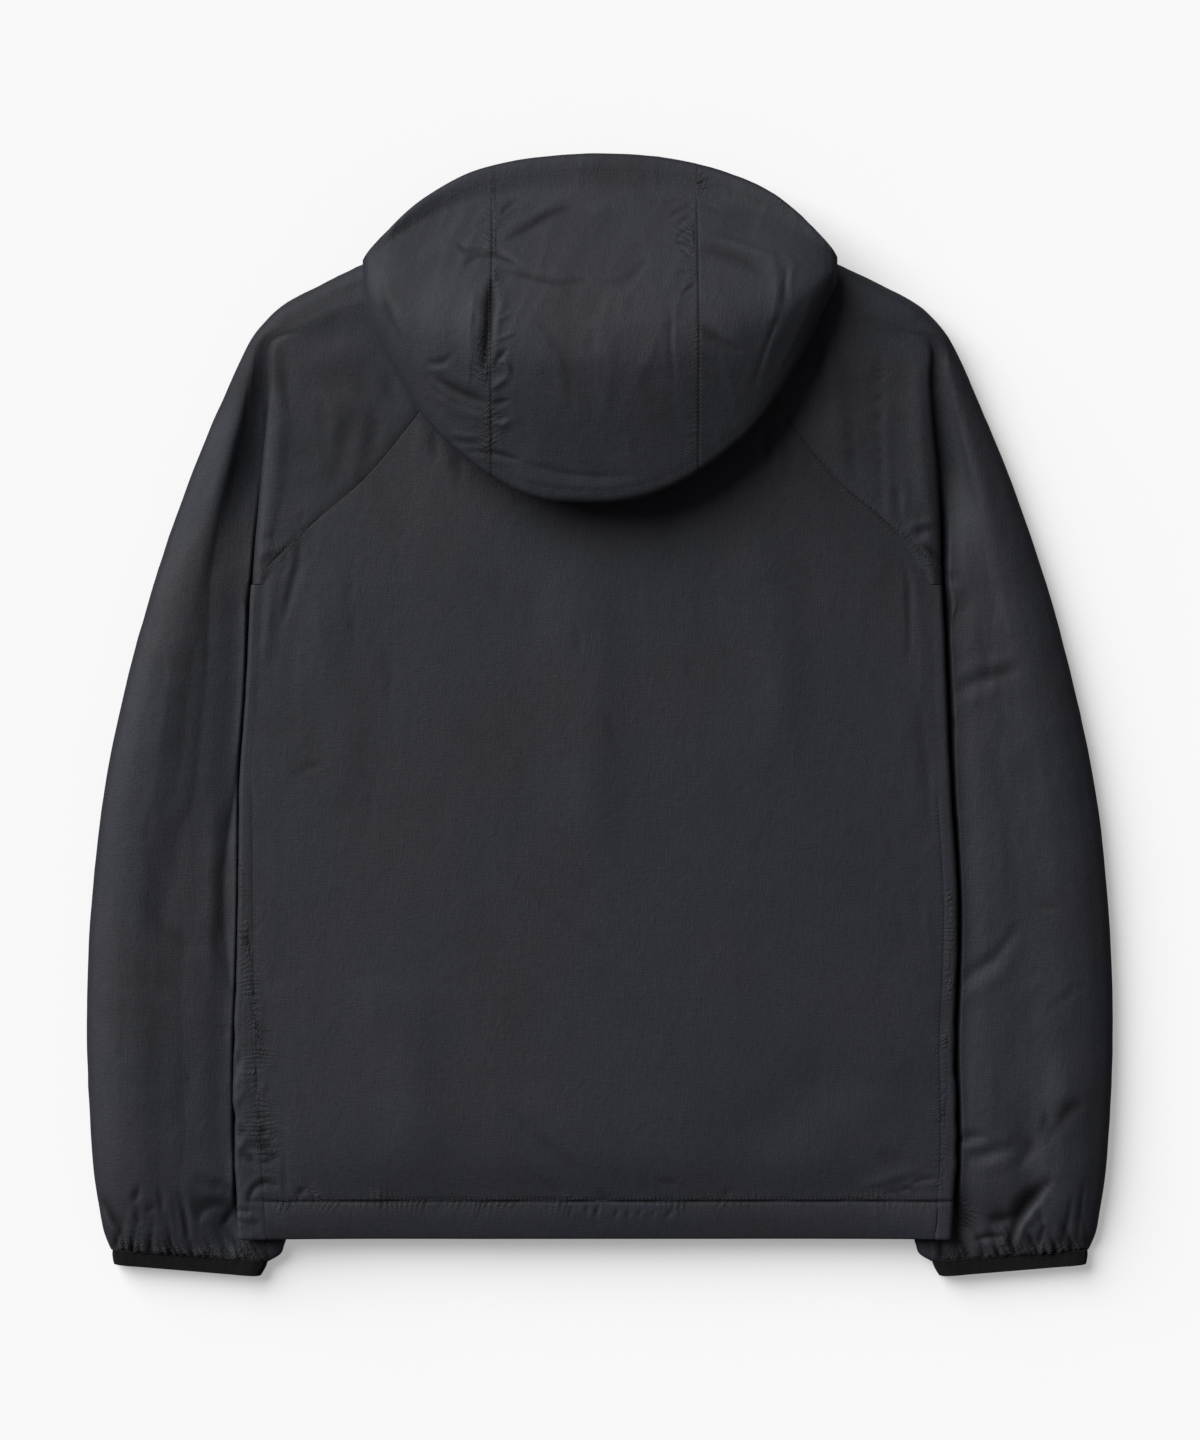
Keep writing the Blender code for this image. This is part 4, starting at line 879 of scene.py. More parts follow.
        (7.0, -0.5, (278, 87), (289, 50), (292, 12)),
        (8.0, 0.3, (289, -26), (300, -93), (302, -153)),
        (3.4, -3.0, (265, -317), (278, -316), (290, -315)),
        (4.0, 0.6, (272, -326), (281, -323), (292, -319)),
        (4.6, -2.2, (278, -331), (294, -327), (312, -322)),
        (5.0, 0.6, (280, -340), (297, -337), (314, -330)),
        (3.0, -1.2, (328, -313), (332, -304), (334, -296)),
        (7.0, -1.6, (311, -340), (319, -328), (325, -316)),
        (4.4, -4.6, (338, -345), (326, -358), (314, -374), (306, -400)),
        (5.0, 1.0, (339, -356), (326, -367), (316, -384), (312, -399)),
        (5.0, 0.5, (327, -344), (315, -354), (303, -360)),
        (5.0, -2.4, (291, -377), (302, -376), (314, -373)),
        (4.0, 0.7, (285, -377), (296, -386), (307, -388)),
        (3.6, -2.4, (280, -393), (291, -390), (304, -390)),
        (6.0, -1.8, (342, -308), (351, -293), (361, -288)),
        (4.0, -1.0, (334, -318), (339, -310), (344, -308)),
        (3.0, -1.6, (328, -368), (330, -374), (332, -380)),
        (2.8, -1.6, (332, -381), (330, -390), (328, -399)),
        (2.8, -1.4, (322, -387), (323, -393), (324, -399)),
        (3.6, 0.6, (344, -369), (342, -382), (339, -398)),
        (3.0, -1.5, (352, -357), (350, -375), (346, -396)),
        (2.6, -1.2, (362, -348), (360, -367), (357, -393)),
    ),
}
# Puckered seams, a row for each: part, pitch, depth and reach at both ends, slant, and the points
# that it runs through, in mm.
PUCKERS = (
    ("hood", 4.3, (0.6, 0.7), (7, 9), 0.3, (-79, 404), (-77, 350), (-79, 312), (-83, 252),
     (-84, 178)),
    ("hood", 4.0, (0.7, 0.5), (11, 8), 0.4, (73, 407), (70, 346), (73, 312)),
    ("hood", 3.6, (0.3, 0.2), (7, 6), -0.3, (73, 312), (73, 240), (69, 198), (66, 178)),
    ("hood", 4.6, (0.14, 0.14), (7, 6), 0.0, (-172, 326), (-165, 344), (-148, 363), (-123, 383)),
    ("hood", 4.6, (0.1, 0.14), (5, 7), 0.0, (124, 393), (150, 371), (170, 340), (165, 312)),
    ("body", 4.4, (0.5, 0.9), (6, 10), -0.25, (-268, -97), (-265, -138), (-259, -213),
     (-256, -288), (-250, -361)),
    ("body", 7.6, (0.5, 1.4), (7, 14), -0.5, (-264, -150), (-259, -213), (-256, -288),
     (-250, -361)),
    ("body", 4.2, (0.4, 0.7), (5, 8), -0.3, (263, -116), (259, -250), (255, -361)),
    ("body", 7.4, (0.1, 0.6), (5, 10), -0.8, (262, -180), (259, -250), (255, -361)),
    ("body", 5.0, (0.5, 0.3), (8, 5), 0.2, (-270, -362), (0, -362), (264, -362)),
    ("body", 5.0, (0.1, 0.3), (4, 6), 0.5, (-142, 218), (-179, 174), (-218, 141), (-255, 107)),
    ("body", 4.0, (0.1, 0.3), (4, 6), 0.5, (142, 218), (179, 174), (218, 141), (255, 107)),
    ("arm", 3.0, (0.4, 0.5), (5, 8), 0.0, (268, -326), (267, -359), (274, -372), (272, -384)),
    ("arm", 6.4, (3.0, 3.0), (8, 9), 0.3, (-367, -401), (-308, -405), (-246, -410)),
    ("arm", 6.0, (3.0, 3.0), (9, 8), -0.3, (367, -401), (308, -405), (246, -410)),
)

FINEST_PUCKER = 5.2  # pitch below which the cloth's material shows a seam's puckers too
SMALLEST_PUCKER = 3.5  # pitch above which the cloth itself has them


# ---------------------------------------------------------------- noise and creases


def noise(x, y, seed):
    """Smooth noise from -1 to 1, with one lump for each unit of x and y."""
    table = np.random.default_rng(seed).uniform(-1.0, 1.0, (61, 67))
    i, j = np.floor(x).astype(int), np.floor(y).astype(int)
    u, v = ease(x - i), ease(y - j)
    near = table[i % 61, j % 67] * (1 - u) + table[(i + 1) % 61, j % 67] * u
    far = table[i % 61, (j + 1) % 67] * (1 - u) + table[(i + 1) % 61, (j + 1) % 67] * u
    return near * (1 - v) + far * v


def off_path(x, y, path):
    """For plan points: the length along a path to its nearest place, how far they are off it (minus
    on its right), and the path's whole length."""
    best, along, off = np.full(x.shape, 1e9), np.zeros(x.shape), np.zeros(x.shape)
    start = 0.0
    for a, b in zip(path[:-1], path[1:]):
        run = b - a
        length = np.hypot(*run)
        t = np.clip(((x - a[0]) * run[0] + (y - a[1]) * run[1]) / length**2, 0.0, 1.0)
        dx, dy = x - a[0] - t * run[0], y - a[1] - t * run[1]
        gap = np.hypot(dx, dy)
        near = gap < best
        best = np.where(near, gap, best)
        along = np.where(near, start + t * length, along)
        off = np.where(near, np.where(run[0] * dy - run[1] * dx > 0, gap, -gap), off)
        start += length
    return along, off, start


def near_path(x, y, path, margin):
    low, high = path.min(axis=0) - margin, path.max(axis=0) + margin
    return (x > low[0]) & (x < high[0]) & (y > low[1]) & (y < high[1])


def path_through(points):
    """A smooth path, in metres, through points given in mm."""
    points = np.array(points) / 1000
    return spline(points, 6) if len(points) > 2 else points


def crease(x, y, seed, width, height, *points):
    """One soft uneven crease: deepest in its middle, one side steeper, with low rolls beside it."""
    path = path_through(points)
    width, height = width / 1000, height / 1000
    lift = np.zeros(x.shape)
    near = near_path(x, y, path, 3.2 * width)
    if not near.any():
        return lift
    along, off, total = off_path(x[near], y[near], path)
    taper = np.clip(np.sin(np.pi * along / total), 0.0, 1.0) ** 0.6
    uneven = 1 + 0.28 * noise(along / 0.011, np.full(along.shape, seed + 0.5), 11)
    wide = width * (0.65 + 0.35 * taper) * uneven
    lean = 1.0 + 0.28 * np.sin(2.4 * seed)
    off = off / wide * np.where(off > 0, lean, 1 / lean)
    ridge = np.exp(-1.9 * (np.sqrt(off**2 + 0.05) - 0.2236))
    ridge = ridge - 0.16 * np.exp(-((np.abs(off) - 1.8) ** 2))
    lift[near] = height * taper * uneven * ridge
    return lift


def pucker_parts(x, y, seed, pitch, depth, reach, slant, *points):
    """Along a seam that its stitches draw in, for the points near it: a mask of them, the count of
    pleats to each, how far off it is as a share of its pleat's length, and the pleats' depth."""
    path = path_through(points)
    near = near_path(x, y, path, 2.6 * max(reach) / 1000)
    along, off, total = off_path(x[near], y[near], path)
    share = along / total
    slant = slant + 0.55 * noise(along / 0.017, np.full(along.shape, 3.5), seed)
    at = (along + slant * np.abs(off)) / (pitch / 1000)
    at = at + 1.3 * noise(at / 3.1, np.full(along.shape, 0.5), seed + 1)
    side = np.where(off > 0, 7.5, 21.5)
    spread = (reach[0] + (reach[1] - reach[0]) * share) / 1000
    spread = spread * (0.8 + 0.6 * noise(at / 1.7, side, seed + 2))
    strength = depth[0] + (depth[1] - depth[0]) * share
    strength = strength * (0.75 + 0.8 * noise(at / 2.3, side, seed + 3))
    strength = strength * np.clip(0.7 + 1.5 * noise(along / 0.017, side, seed + 4), 0.1, 1.9)
    strength = strength * ease(share * 14) * ease((1 - share) * 14)
    return near, at, np.abs(off) / np.maximum(spread, 0.0015), strength


def pucker(x, y, *pleats):
    """Short uneven pleats across a seam, in millimetres."""
    lift = np.zeros(x.shape)
    near, at, away, strength = pucker_parts(x, y, *pleats)
    lift[near] = strength * (np.abs(np.sin(np.pi * at)) ** 0.7 - 0.75) * np.exp(-(away**1.6))
    return lift


def fine_puckers(x, y, where):
    """For the cloth's material: the count, share and depth of pucker_parts of the nearest seam."""
    found = np.stack([np.zeros(x.shape), np.full(x.shape, 9.0), np.zeros(x.shape)], 1)
    for seed, (part, *pleats) in enumerate(PUCKERS):
        if part in where and (part == "arm" or pleats[0] < FINEST_PUCKER):
            near, at, away, strength = pucker_parts(x, y, 40 + 5 * seed, *pleats)
            index = np.flatnonzero(near)
            closer = away < found[index, 1]
            found[index[closer]] = np.stack([at, away, strength], 1)[closer]
    return found


def groove(x, y, depth, width, path):
    """The low line where two pieces are sewn together, with the cloth rising softly beside it."""
    lift = np.zeros(x.shape)
    near = near_path(x, y, path, 4 * width)
    if near.any():
        _, off, _ = off_path(x[near], y[near], path)
        off = off / width
        lift[near] = -depth * (1 - 0.30 * off**2) * np.exp(-(off**2))
    return lift


def crumple(x, y, z, seed):
    """Fine nylon crumple, in millimetres: a few lumps, and sharper lines between them."""
    across, up = x + 0.7 * z, y + 0.5 * z
    soft = noise(across / 0.034, up / 0.052, seed)
    warp = 0.006 * noise(across / 0.045, up / 0.045, seed + 1)
    lines = np.abs(noise((across + warp) / 0.013, (up - warp) / 0.026, seed + 2))
    small = np.abs(noise((across - warp) / 0.0065, (up + warp) / 0.011, seed + 3))
    return 0.42 * soft + 0.34 * (0.45 - lines) + 0.10 * (0.45 - small)


# ---------------------------------------------------------------- weaving


def through(keys, values, at, corners=()):
    """Values at new keys, on a smooth curve through the given ones, but with a bend at each corner."""
    ends = [0, *(c for c in corners if 0 < c < len(keys) - 1), len(keys) - 1]
    result = np.empty((len(at), *values.shape[1:]))
    for first, last in zip(ends[:-1], ends[1:]):
        own, part = keys[first : last + 1], values[first : last + 1]
        inside = (at >= own[0] - 1e-9) & (at <= own[-1] + 1e-9)
        slopes = np.gradient(part, own, axis=0)
        i = np.clip(np.searchsorted(own, at[inside], side="right") - 1, 0, len(own) - 2)
        shape = (-1, *[1] * (values.ndim - 1))
        span = (own[i + 1] - own[i]).reshape(shape)
        t = np.clip((at[inside] - own[i]).reshape(shape) / span, 0.0, 1.0)
        result[inside] = between(t, span, i, part, slopes)
    return result


def positions(stops, step, fine_step=0.0, reach=0.0, *fine):
    """Rising positions through all stops, a step apart, but a fine step within reach of the start
    and the end where fine names them."""
    step, fine_step = step * COARSER, fine_step * COARSER
    found = [np.array(stops[:1])]
    for a, b in zip(stops[:-1], stops[1:]):
        probe = np.linspace(a, b, 600)
        local = np.full(600, step)
        for word in fine:
            place = stops[0] if word == "start" else stops[-1]
            away = ease(np.abs(probe - place) / reach - 0.2)
            local = np.minimum(local, fine_step + (step - fine_step) * away)
        counted = np.concatenate([[0.0], np.cumsum(0.5 / local[1:] + 0.5 / local[:-1])])
        counted *= (b - a) / 599
        wanted = np.linspace(0.0, counted[-1], max(1, int(np.ceil(counted[-1]))) + 1)[1:]
        found.append(np.interp(wanted, counted, probe))
    return np.concatenate(found)


def fine_line(row, name, count=201):
    """A stretch of a row as many even points, on a smooth curve that its neighbours carry on."""
    points = np.array(row[name])
    before = [np.array(p[-3:-1]) for p in row.values() if np.allclose(p[-1], points[0], atol=1e-6)]
    after = [np.array(p[1:3]) for p in row.values() if np.allclose(p[0], points[-1], atol=1e-6)]
    whole = np.concatenate([*before[:1], points, *after[:1]])
    first = len(before[0]) if before else 0
    along = lengths_along(whole)
    kept = np.concatenate([[True], np.diff(along) > 1e-7])
    at = np.linspace(along[first], along[first + len(points) - 1], count)
    return through(along[kept], whole[kept], at)


def row_keys(rows):
    """Distance of each row from the first, as a mean over the stretches that rows share."""
    keys = [0.0]
    for upper, lower in zip(rows[:-1], rows[1:]):
        gaps = [
            np.linalg.norm(resampled(upper[name], 9) - resampled(lower[name], 9), axis=1).mean()
            for name in upper
            if name in lower
        ]
        keys.append(keys[-1] + float(np.mean(gaps)))
    return np.array(keys)


def woven(rows, down, across, corners=()):
    """A fine grid through coarse rows: its points, faces, and the faces' cloth coordinates. A row is
    {stretch: points}. down has the steps of its rows, and across of each stretch's columns."""
    names = list(dict.fromkeys(name for row in rows for name in row))
    held = {name: [i for i, row in enumerate(rows) if name in row] for name in names}
    keys = row_keys(rows)
    stops = sorted({0.0, keys[-1], *(keys[i] for h in held.values() for i in (h[0], h[-1]))})
    at = positions(stops, *down)
    points, columns, numbers = [], {}, {}
    for name in names:
        first, last = held[name][0], held[name][-1]
        lines = np.array([fine_line(rows[i], name) for i in range(first, last + 1)])
        spans = np.linalg.norm(np.diff(lines, axis=1), axis=2).mean(axis=0)
        along = np.concatenate([[0.0], np.cumsum(np.maximum(spans, 1e-6))])
        columns[name] = positions([0.0, along[-1]], *across[name])
        own = keys[first : last + 1]
        inside = np.flatnonzero((at >= own[0] - 1e-9) & (at <= own[-1] + 1e-9))
        lines = through(along, lines.transpose(1, 0, 2), columns[name]).transpose(1, 0, 2)
        grid = through(own, lines, at[inside], [c - first for c in corners])
        width = len(columns[name])
        for k, r in enumerate(inside):
            numbers.setdefault(name, {})[r] = len(points) + k * width + np.arange(width)
        points.extend(grid.reshape(-1, 3))
    for name in names:
        for other in names:
            both = [row for row in rows if name in row and other in row]
            pairs = [(row[name][-1], row[other][0]) for row in both]
            if pairs and all(np.allclose(a, b, atol=1e-6) for a, b in pairs):
                for r in set(numbers[name]) & set(numbers[other]):
                    numbers[name][r][-1] = numbers[other][r][0]
    faces, coordinates = [], []
    for name in names:
        inside, u = sorted(numbers[name]), columns[name].tolist()
        for r, s in zip(inside[:-1], inside[1:]):
            a, b = numbers[name][r].tolist(), numbers[name][s].tolist()
            v, w = at[r], at[s]
            for i in range(len(a) - 1):
                faces.append((a[i], a[i + 1], b[i + 1], b[i]))
                coordinates.append(((u[i], v), (u[i + 1], v), (u[i + 1], w), (u[i], w)))
    used, faces = np.unique(np.array(faces), return_inverse=True)
    return np.array(points)[used], faces.reshape(-1, 4), np.array(coordinates)


surfaces = {}


def new_object(name, points, faces, material, coordinates=None):
    mesh = bpy.data.meshes.new(name)
    mesh.from_pydata(np.asarray(points).tolist(), [], [list(f) for f in faces])
    if coordinates is not None:
        layer = mesh.uv_layers.new(name="cloth")
        layer.data.foreach_set("uv", np.asarray(coordinates, np.float32).reshape(-1))
    mesh.materials.append(material)
    mesh.shade_smooth()
    obj = bpy.data.objects.new(name, mesh)
    bpy.context.scene.collection.objects.link(obj)
    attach(obj, "root")
    return obj


def mark_rim(mesh):
    """Cut edges are sharp, so the cloth's shading stays flat up to a seam."""
    edges = np.empty(len(mesh.loops), dtype=int)
    mesh.loops.foreach_get("edge_index", edges)
    rim = np.bincount(edges, minlength=len(mesh.edges)) == 1
    mesh.attributes.new("sharp_edge", "BOOLEAN", "EDGE").data.foreach_set("value", rim)


def cloth(name, rows, wall, inwards, material, relief, down, across, corners=(), seams=("body",)):
    """A cloth piece in place of the CAD node of that name: woven, creased, then given its wall."""
    points, faces, coordinates = woven(rows, down, across, corners)
    obj = new_object(f"{name}_cloth", points, faces.tolist(), material, coordinates)
    mesh = obj.data
    normals = np.empty(len(points) * 3)
    mesh.vertex_normals.foreach_get("vector", normals)
    normals = -inwards * normals.reshape(-1, 3)
    lift = relief(points, normals)
    moved = points + normals * lift[:, None] / 1000
    moved[:, 2] = np.maximum(moved[:, 2], 0.0)
    mesh.vertices.foreach_set("co", moved.reshape(-1))
    mesh.update()
    mark_rim(mesh)
    shown = upward(normals)
    pleats = fine_puckers(*points[:, :2].T, seams)
    pleats[:, 2] *= shown
    needle = needle_places(*points[:, :2].T, seams)
    needle[:, 2] *= shown
    for layer, values in (("pleats", pleats), ("needle", needle)):
        attribute = mesh.attributes.new(layer, "FLOAT_VECTOR", "POINT")
        attribute.data.foreach_set("vector", values.astype(np.float32).reshape(-1))
    # Painted shade in the creases' troughs, stronger the deeper they sink, by which the cloth's
    # material darkens its colour.
    painted_shade = (shown * np.clip(-lift / 2.4, 0.0, 1.0)).astype(np.float32)
    mesh.attributes.new("painted_shade", "FLOAT", "POINT").data.foreach_set("value", painted_shade)
    surfaces[name] = BVHTree.FromPolygons(moved.tolist(), faces.tolist())
    thicken = obj.modifiers.new("wall", "SOLIDIFY")
    thicken.thickness = wall
    thicken.offset = inwards
    thicken.use_even_offset = False
    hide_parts(name)
    return obj


# ---------------------------------------------------------------- relief of the pieces, in mm


def placed(where, x, y):
    """The creases and puckers of one part of the jacket, in millimetres."""
    lift = np.zeros(x.shape)
    every = [(part, line) for part, lines in CREASES.items() for line in lines]
    for seed, (part, line) in enumerate(every):
        if part == where:
            lift += 1000 * crease(x, y, seed, *line)
    for seed, (part, *pleats) in enumerate(PUCKERS):
        if part == where and pleats[0] > SMALLEST_PUCKER:
            lift += pucker(x, y, 40 + 5 * seed, *pleats)
    return lift


def upward(normals, start=0.05, span=0.35):
    return ease((normals[:, 2] - start) / span)


def raglan_line(side, shift=0.0):
    """The raglan seam as it is sewn: it runs on to the body's edge."""
    end = (smooth(BODY_EDGE[side], 0.1000) + 0.001, 0.1000)
    table = (*RAGLAN_BACK, (0.2520, 0.1085), end)
    return np.array([seam_point(table, s, shift) * (side, 1) for s in np.linspace(0, 1, 33)])


def side_line(side, shift=0.0):
    y = np.linspace(HEM_BOTTOM, -0.06, 34)
    return np.stack([side * (side_seam(side, y) + shift), y], 1)


def hem_line():
    """The hem seam, a little wavy."""
    x = np.linspace(-0.262, 0.262, 90)
    return np.stack([x, HEM_SEAM + 0.0006 * noise(x / 0.017, x * 0, 51) + 0.0003], 1)


def sewn_lines():
    """Seams and their grooves' depth in mm and half width, by part."""
    lines = {"hood": [], "body": [(hem_line(), 1.1, 0.0011)]}
    for side in (-1, 1):
        seam = HOOD_SEAM[side]
        lines["hood"].append((np.array([(seam, 0.15), (seam, 0.30), (seam, 0.43)]), 0.40, 0.0012))
        lines["body"].append((raglan_line(side), 0.45 - 0.15 * side, 0.0012))
        lines["body"].append((side_line(side), 0.25, 0.0012))
    return lines


SEWN = sewn_lines()


def grooves(x, y, where):
    lift = np.zeros(x.shape)
    for path, depth, width in SEWN[where]:
        lift += groove(x, y, depth, width, path)
    return lift


def needle_places(x, y, where):
    """For the cloth's material: length along the nearest seam, distance from it, and how strongly the
    painted shade along it shows.
    """
    found = np.stack([np.zeros(x.shape), np.ones(x.shape), np.zeros(x.shape)], 1)
    for part in where:
        for path, depth, _ in SEWN.get(part, ()):
            index = np.flatnonzero(near_path(x, y, path, 0.012))
            along, off, _ = off_path(x[index], y[index], path)
            closer = np.abs(off) < found[index, 1]
            shown = np.full(along.shape, min((depth - 0.1) / 0.35, 1.0))
            values = np.stack([along, np.abs(off), shown], 1)
            found[index[closer]] = values[closer]
    return found


FRONT_SEAMS = [spline(np.array(RAGLAN_FRONT) * (side, 1), 8) for side in (-1, 1)]


def clear_of_seams(x, y):
    """0 on the seams between the fronts and the sleeves, where both lie at one height, 1 beyond."""
    clear = np.ones(x.shape)
    for path in FRONT_SEAMS:
        near = near_path(x, y, path, 0.018)
        if near.any():
            _, off, _ = off_path(x[near], y[near], path)
            clear[near] = np.minimum(clear[near], 1 - np.exp(-((off / 0.008) ** 2)))
    return clear


def body_relief(points, normals):
    """The back, the shoulders, the body's rounded sides and the hem; the fronts get small creases
    that keep them on the floor."""
    x, y, z = points.T
    up, under = upward(normals), upward(-normals)
    calm = 0.40 + 0.45 * ease((np.abs(x) - 0.17) / 0.08) + 0.35 * ease((y - 0.02) / 0.15)
    fine = crumple(x, y, z, 3) * calm
    top = placed("body", x, y) + grooves(x, y, "body")
    corner = 1.5 * np.clip(2 * normals[:, 2] * np.abs(normals[:, 0]), 0.0, 1.0) ** 1.5
    corner = corner * ease((np.abs(x) - 0.235) / 0.01) * ease((0.11 - y) / 0.02)
    low = 0.25 + ease((-0.16 - y) / 0.12)
    edge = 0.9 * low * noise(y / 0.012, x * 0 + np.sign(x), 61) * np.abs(normals[:, 0]) ** 2
    below = 0.5 * placed("body", -x, y) + 1.6 * crumple(x, y, z, 31)
    zip_side = ease((np.abs(x) - 0.004) / 0.012)
    under_lift = under * zip_side * clear_of_seams(x, y) * np.abs(below)
    return up * top + corner + edge + (1 - under) * fine - under_lift


def cuff_share(side, x, y):
    """Place across the sleeve's end, 0 at its inner edge, and the distance up from its cuff."""
    inner, outer = np.array(CUFF_TOP_INNER), np.array(CUFF_TOP_OUTER)
    share = (side * x - inner[0]) / (outer[0] - inner[0])
    return share, y - (inner[1] + (outer[1] - inner[1]) * share)


def gathers(side, x, y, seed):
    """Uneven folds that the cuff draws in above its short pleats, in millimetres."""
    share, away = cuff_share(side, x, y)
    away = np.clip(away, 0.0, 1.0)
    at = FOLDS * (share + 0.22 * (share - 0.5) * away / 0.06)
    at = at + 0.75 * noise(at / 2.0, away / 0.04, seed)
    lane = np.floor(at)
    long = 0.75 + 0.7 * noise(lane * 1.37 + 0.5, np.full(x.shape, 9.5), seed + 1)
    high = 0.85 + 0.55 * noise(lane * 1.91 + 0.3, np.full(x.shape, 2.5), seed + 3)
    wave = 0.35 - np.exp(-np.abs(np.sin(np.pi * at)) / 0.45)
    fade = np.exp(-((away / (0.024 * np.maximum(long, 0.3))) ** 1.6))
    sewn = 1 - ease(away / 0.003)
    folds = 4.0 * high * wave * fade * (1 - 0.8 * sewn) - 0.6 * sewn
    return folds * ease((share + 0.02) / 0.05) * ease((1.02 - share) / 0.05)


# Height in mm that a sleeve is filled to beside the body, and how much nearer to it that starts.
SLEEVE_LEVEL = {-1: (23.0, 0.0016), 1: (24.0, 0.0)}


def sleeve_relief(side):
    def relief(points, normals):
        x, y, z = points.T
        up, under = upward(normals), upward(-normals)
        edge = smooth(BODY_EDGE[side], np.clip(y, HEM_BOTTOM, 0.278))
        on_body = (side * x < edge + 0.0005) & (y > ARMPIT_Y - 0.004)
        body = placed("body", x, y) + grooves(x, y, "body")
        hidden = (side * x < edge - 0.004) & (y < ARMPIT_Y - 0.004)
        arm = placed("arm", x, y) * np.where(hidden, 0.25, 1.0)
        top = np.where(on_body, body, arm)
        fine = crumple(x, y, z, 5 + side) * np.where(hidden, 0.5, 1.0)
        pleats = gathers(side, x, y, 70 + side)
        below = 0.45 * placed("arm", -x, y) + 1.3 * crumple(x, y, z, 37)
        pleats_below = gathers(side, x, y, 90 + side)
        pleated = np.abs(pleats_below) > 1e-6
        lower = np.abs(below) + np.maximum(0.9 - pleats_below, 0.0) * pleated
        beside = side * x - edge
        level, lap = SLEEVE_LEVEL[side]
        plump = 0.85 * np.maximum(level - 1000 * z, 0.0)
        plump = plump * ease((beside + 0.001 + lap) / (0.010 - 2 * lap))
        plump = plump * ease((0.058 - beside) / 0.022) * ease((0.190 - y) / 0.09)
        plump = plump * np.where(hidden | on_body, 0.0, 1.0) * ease((y + 0.385) / 0.04)
        _, away = cuff_share(side, x, y)
        lower = lower * ease(away / 0.005)
        outer = np.clip(side * normals[:, 0], 0.0, 1.0) * np.exp(-(((away - 0.013) / 0.012) ** 2))
        lower = under * clear_of_seams(x, y) * lower
        return up * (top + pleats + plump) + (1 - under) * (fine + 1.6 * outer) - lower

    return relief


def hood_relief(points, normals):
    x, y, z = points.T
    up = upward(normals, 0.0, 0.30)
    shown = up * ease((z - 0.030) / 0.008)
    fine = 1.05 * crumple(x, y, z, 8)
    hidden = 0.5 * placed("hood", -x, y) + 1.6 * crumple(x, y, z, 44)
    on_floor = ease((0.004 - z) / 0.003)
    lower = (1 - shown) * np.where(on_floor > 0, -np.abs(hidden) * on_floor, 0.4 * hidden)
    return shown * (placed("hood", x, y) + grooves(x, y, "hood") + fine) + lower


def cuff_relief(side):
    def relief(points, normals):
        x, y, z = points.T
        share, away = cuff_share(side, x, y)
        ribs = 0.10 * np.sin(2 * np.pi * share * 74)
        turn = np.pi * GATHERS * share + 1.1 * noise(share * 7, z * 0, 5)
        drawn = 0.30 * (np.abs(np.sin(turn)) - 0.6)
        ends = np.exp(-((away + 0.0003) / 0.0010)) + np.exp(-((0.0108 + away) / 0.0010))
        top = ribs + drawn * ease(1 + away / 0.011) - 0.9 * np.clip(ends, 0.0, 1.0)
        under = upward(-normals)
        return (1 - under) * top - under * np.abs(ribs)

    return relief


# ---------------------------------------------------------------- cloth pieces

SIDES = ((-1, "left"), (1, "right"))


def back_row(y, bulge=0.0):
    """A row from side seam to side seam."""
    ends = [side * (side_seam(side, y) - SEAM_GAP / 2) for side in (-1, 1)]
    x = line([ends[0]], [ends[1]])[:, 0]
    return {"back": plan(x, y, 1, back_height(x, y) + bulge)}


def back_cloth(shell):
    rows = [back_row(y) for y in body_rows_y()]
    for share in raglan_shares()[-2::-1]:
        left, right = (seam_point(raglan_back(side), share, -SEAM_GAP / 2) for side in (-1, 1))
        xy = line((-left[0], left[1]), right)
        if share == 0.0:
            xy[:, 1] = back_neck(xy[:, 0])
        rows.append({"back": plan(xy[:, 0], xy[:, 1], 1, back_height(*xy.T))})
    down = (0.0033, 0.0016, 0.030, "start")
    across = {"back": (0.0030, 0.0018, 0.05, "start", "end")}
    return cloth("back", rows, CLOTH, -1, shell, body_relief, down, across, (BODY_ROWS - 1,))


def front_cloth(side, word, shell):
    rows = [front_body_row(side, y) for y in body_rows_y()]
    shares = sorted({*raglan_shares()[:-1], *FRONT_NECK_SHARES}, reverse=True)
    neck_row = 0
    for share in shares:
        seam = seam_chord(RAGLAN_FRONT, share, -SEAM_GAP / 2)
        start = max(ZIP_HALF, front_neck(seam[1]))
        rows.append({"under": front_under(side, seam[1], start, seam[0])})
        if start == ZIP_HALF:
            neck_row = len(rows) - 1
    down = (0.0036, 0.0020, 0.030, "start")
    across = {
        "under": (0.0065, 0.0022, 0.020, "start"),
        "tucked": (0.0060,),
        "wrap": (0.0012,),
    }
    corners = (BODY_ROWS - 1, neck_row)
    name = f"front_{word}"
    return cloth(name, rows, CLOTH, side, shell, body_relief, down, across, corners)


def hem_relief(points, normals):
    """body_relief, and the turned lower edge is round."""
    low = np.clip((HEM_BOTTOM + 0.0016 - points[:, 1]) / 0.0016, 0.0, 1.0)
    sway = 0.9 * noise(points[:, 0] / 0.045, points[:, 0] * 0, 71)
    sway = sway * np.clip(-normals[:, 1], 0.0, 1.0)
    return body_relief(points, normals) + sway - 1.5 * (1 - np.sqrt(1 - 0.99 * low**2))


def hem_y(share):
    """y in the hem's casing, from its seam (share 0) to the jacket's lower edge (share 1)."""
    return HEM_BOTTOM + (HEM_HEIGHT - SEAM_GAP / 2) * (1 - share)


def hem_back_cloth(shell):
    bulges = ((0.0, -0.0004), (0.3, 0.0009), (0.7, 0.0007), (1.0, -0.0008))
    rows = [back_row(hem_y(share), bulge) for share, bulge in bulges]
    down = (0.0018, 0.0004, 0.003, "end")
    return cloth("hem_back", rows, HEM_CLOTH, 1, shell, hem_relief, down, {"back": (0.0014,)})


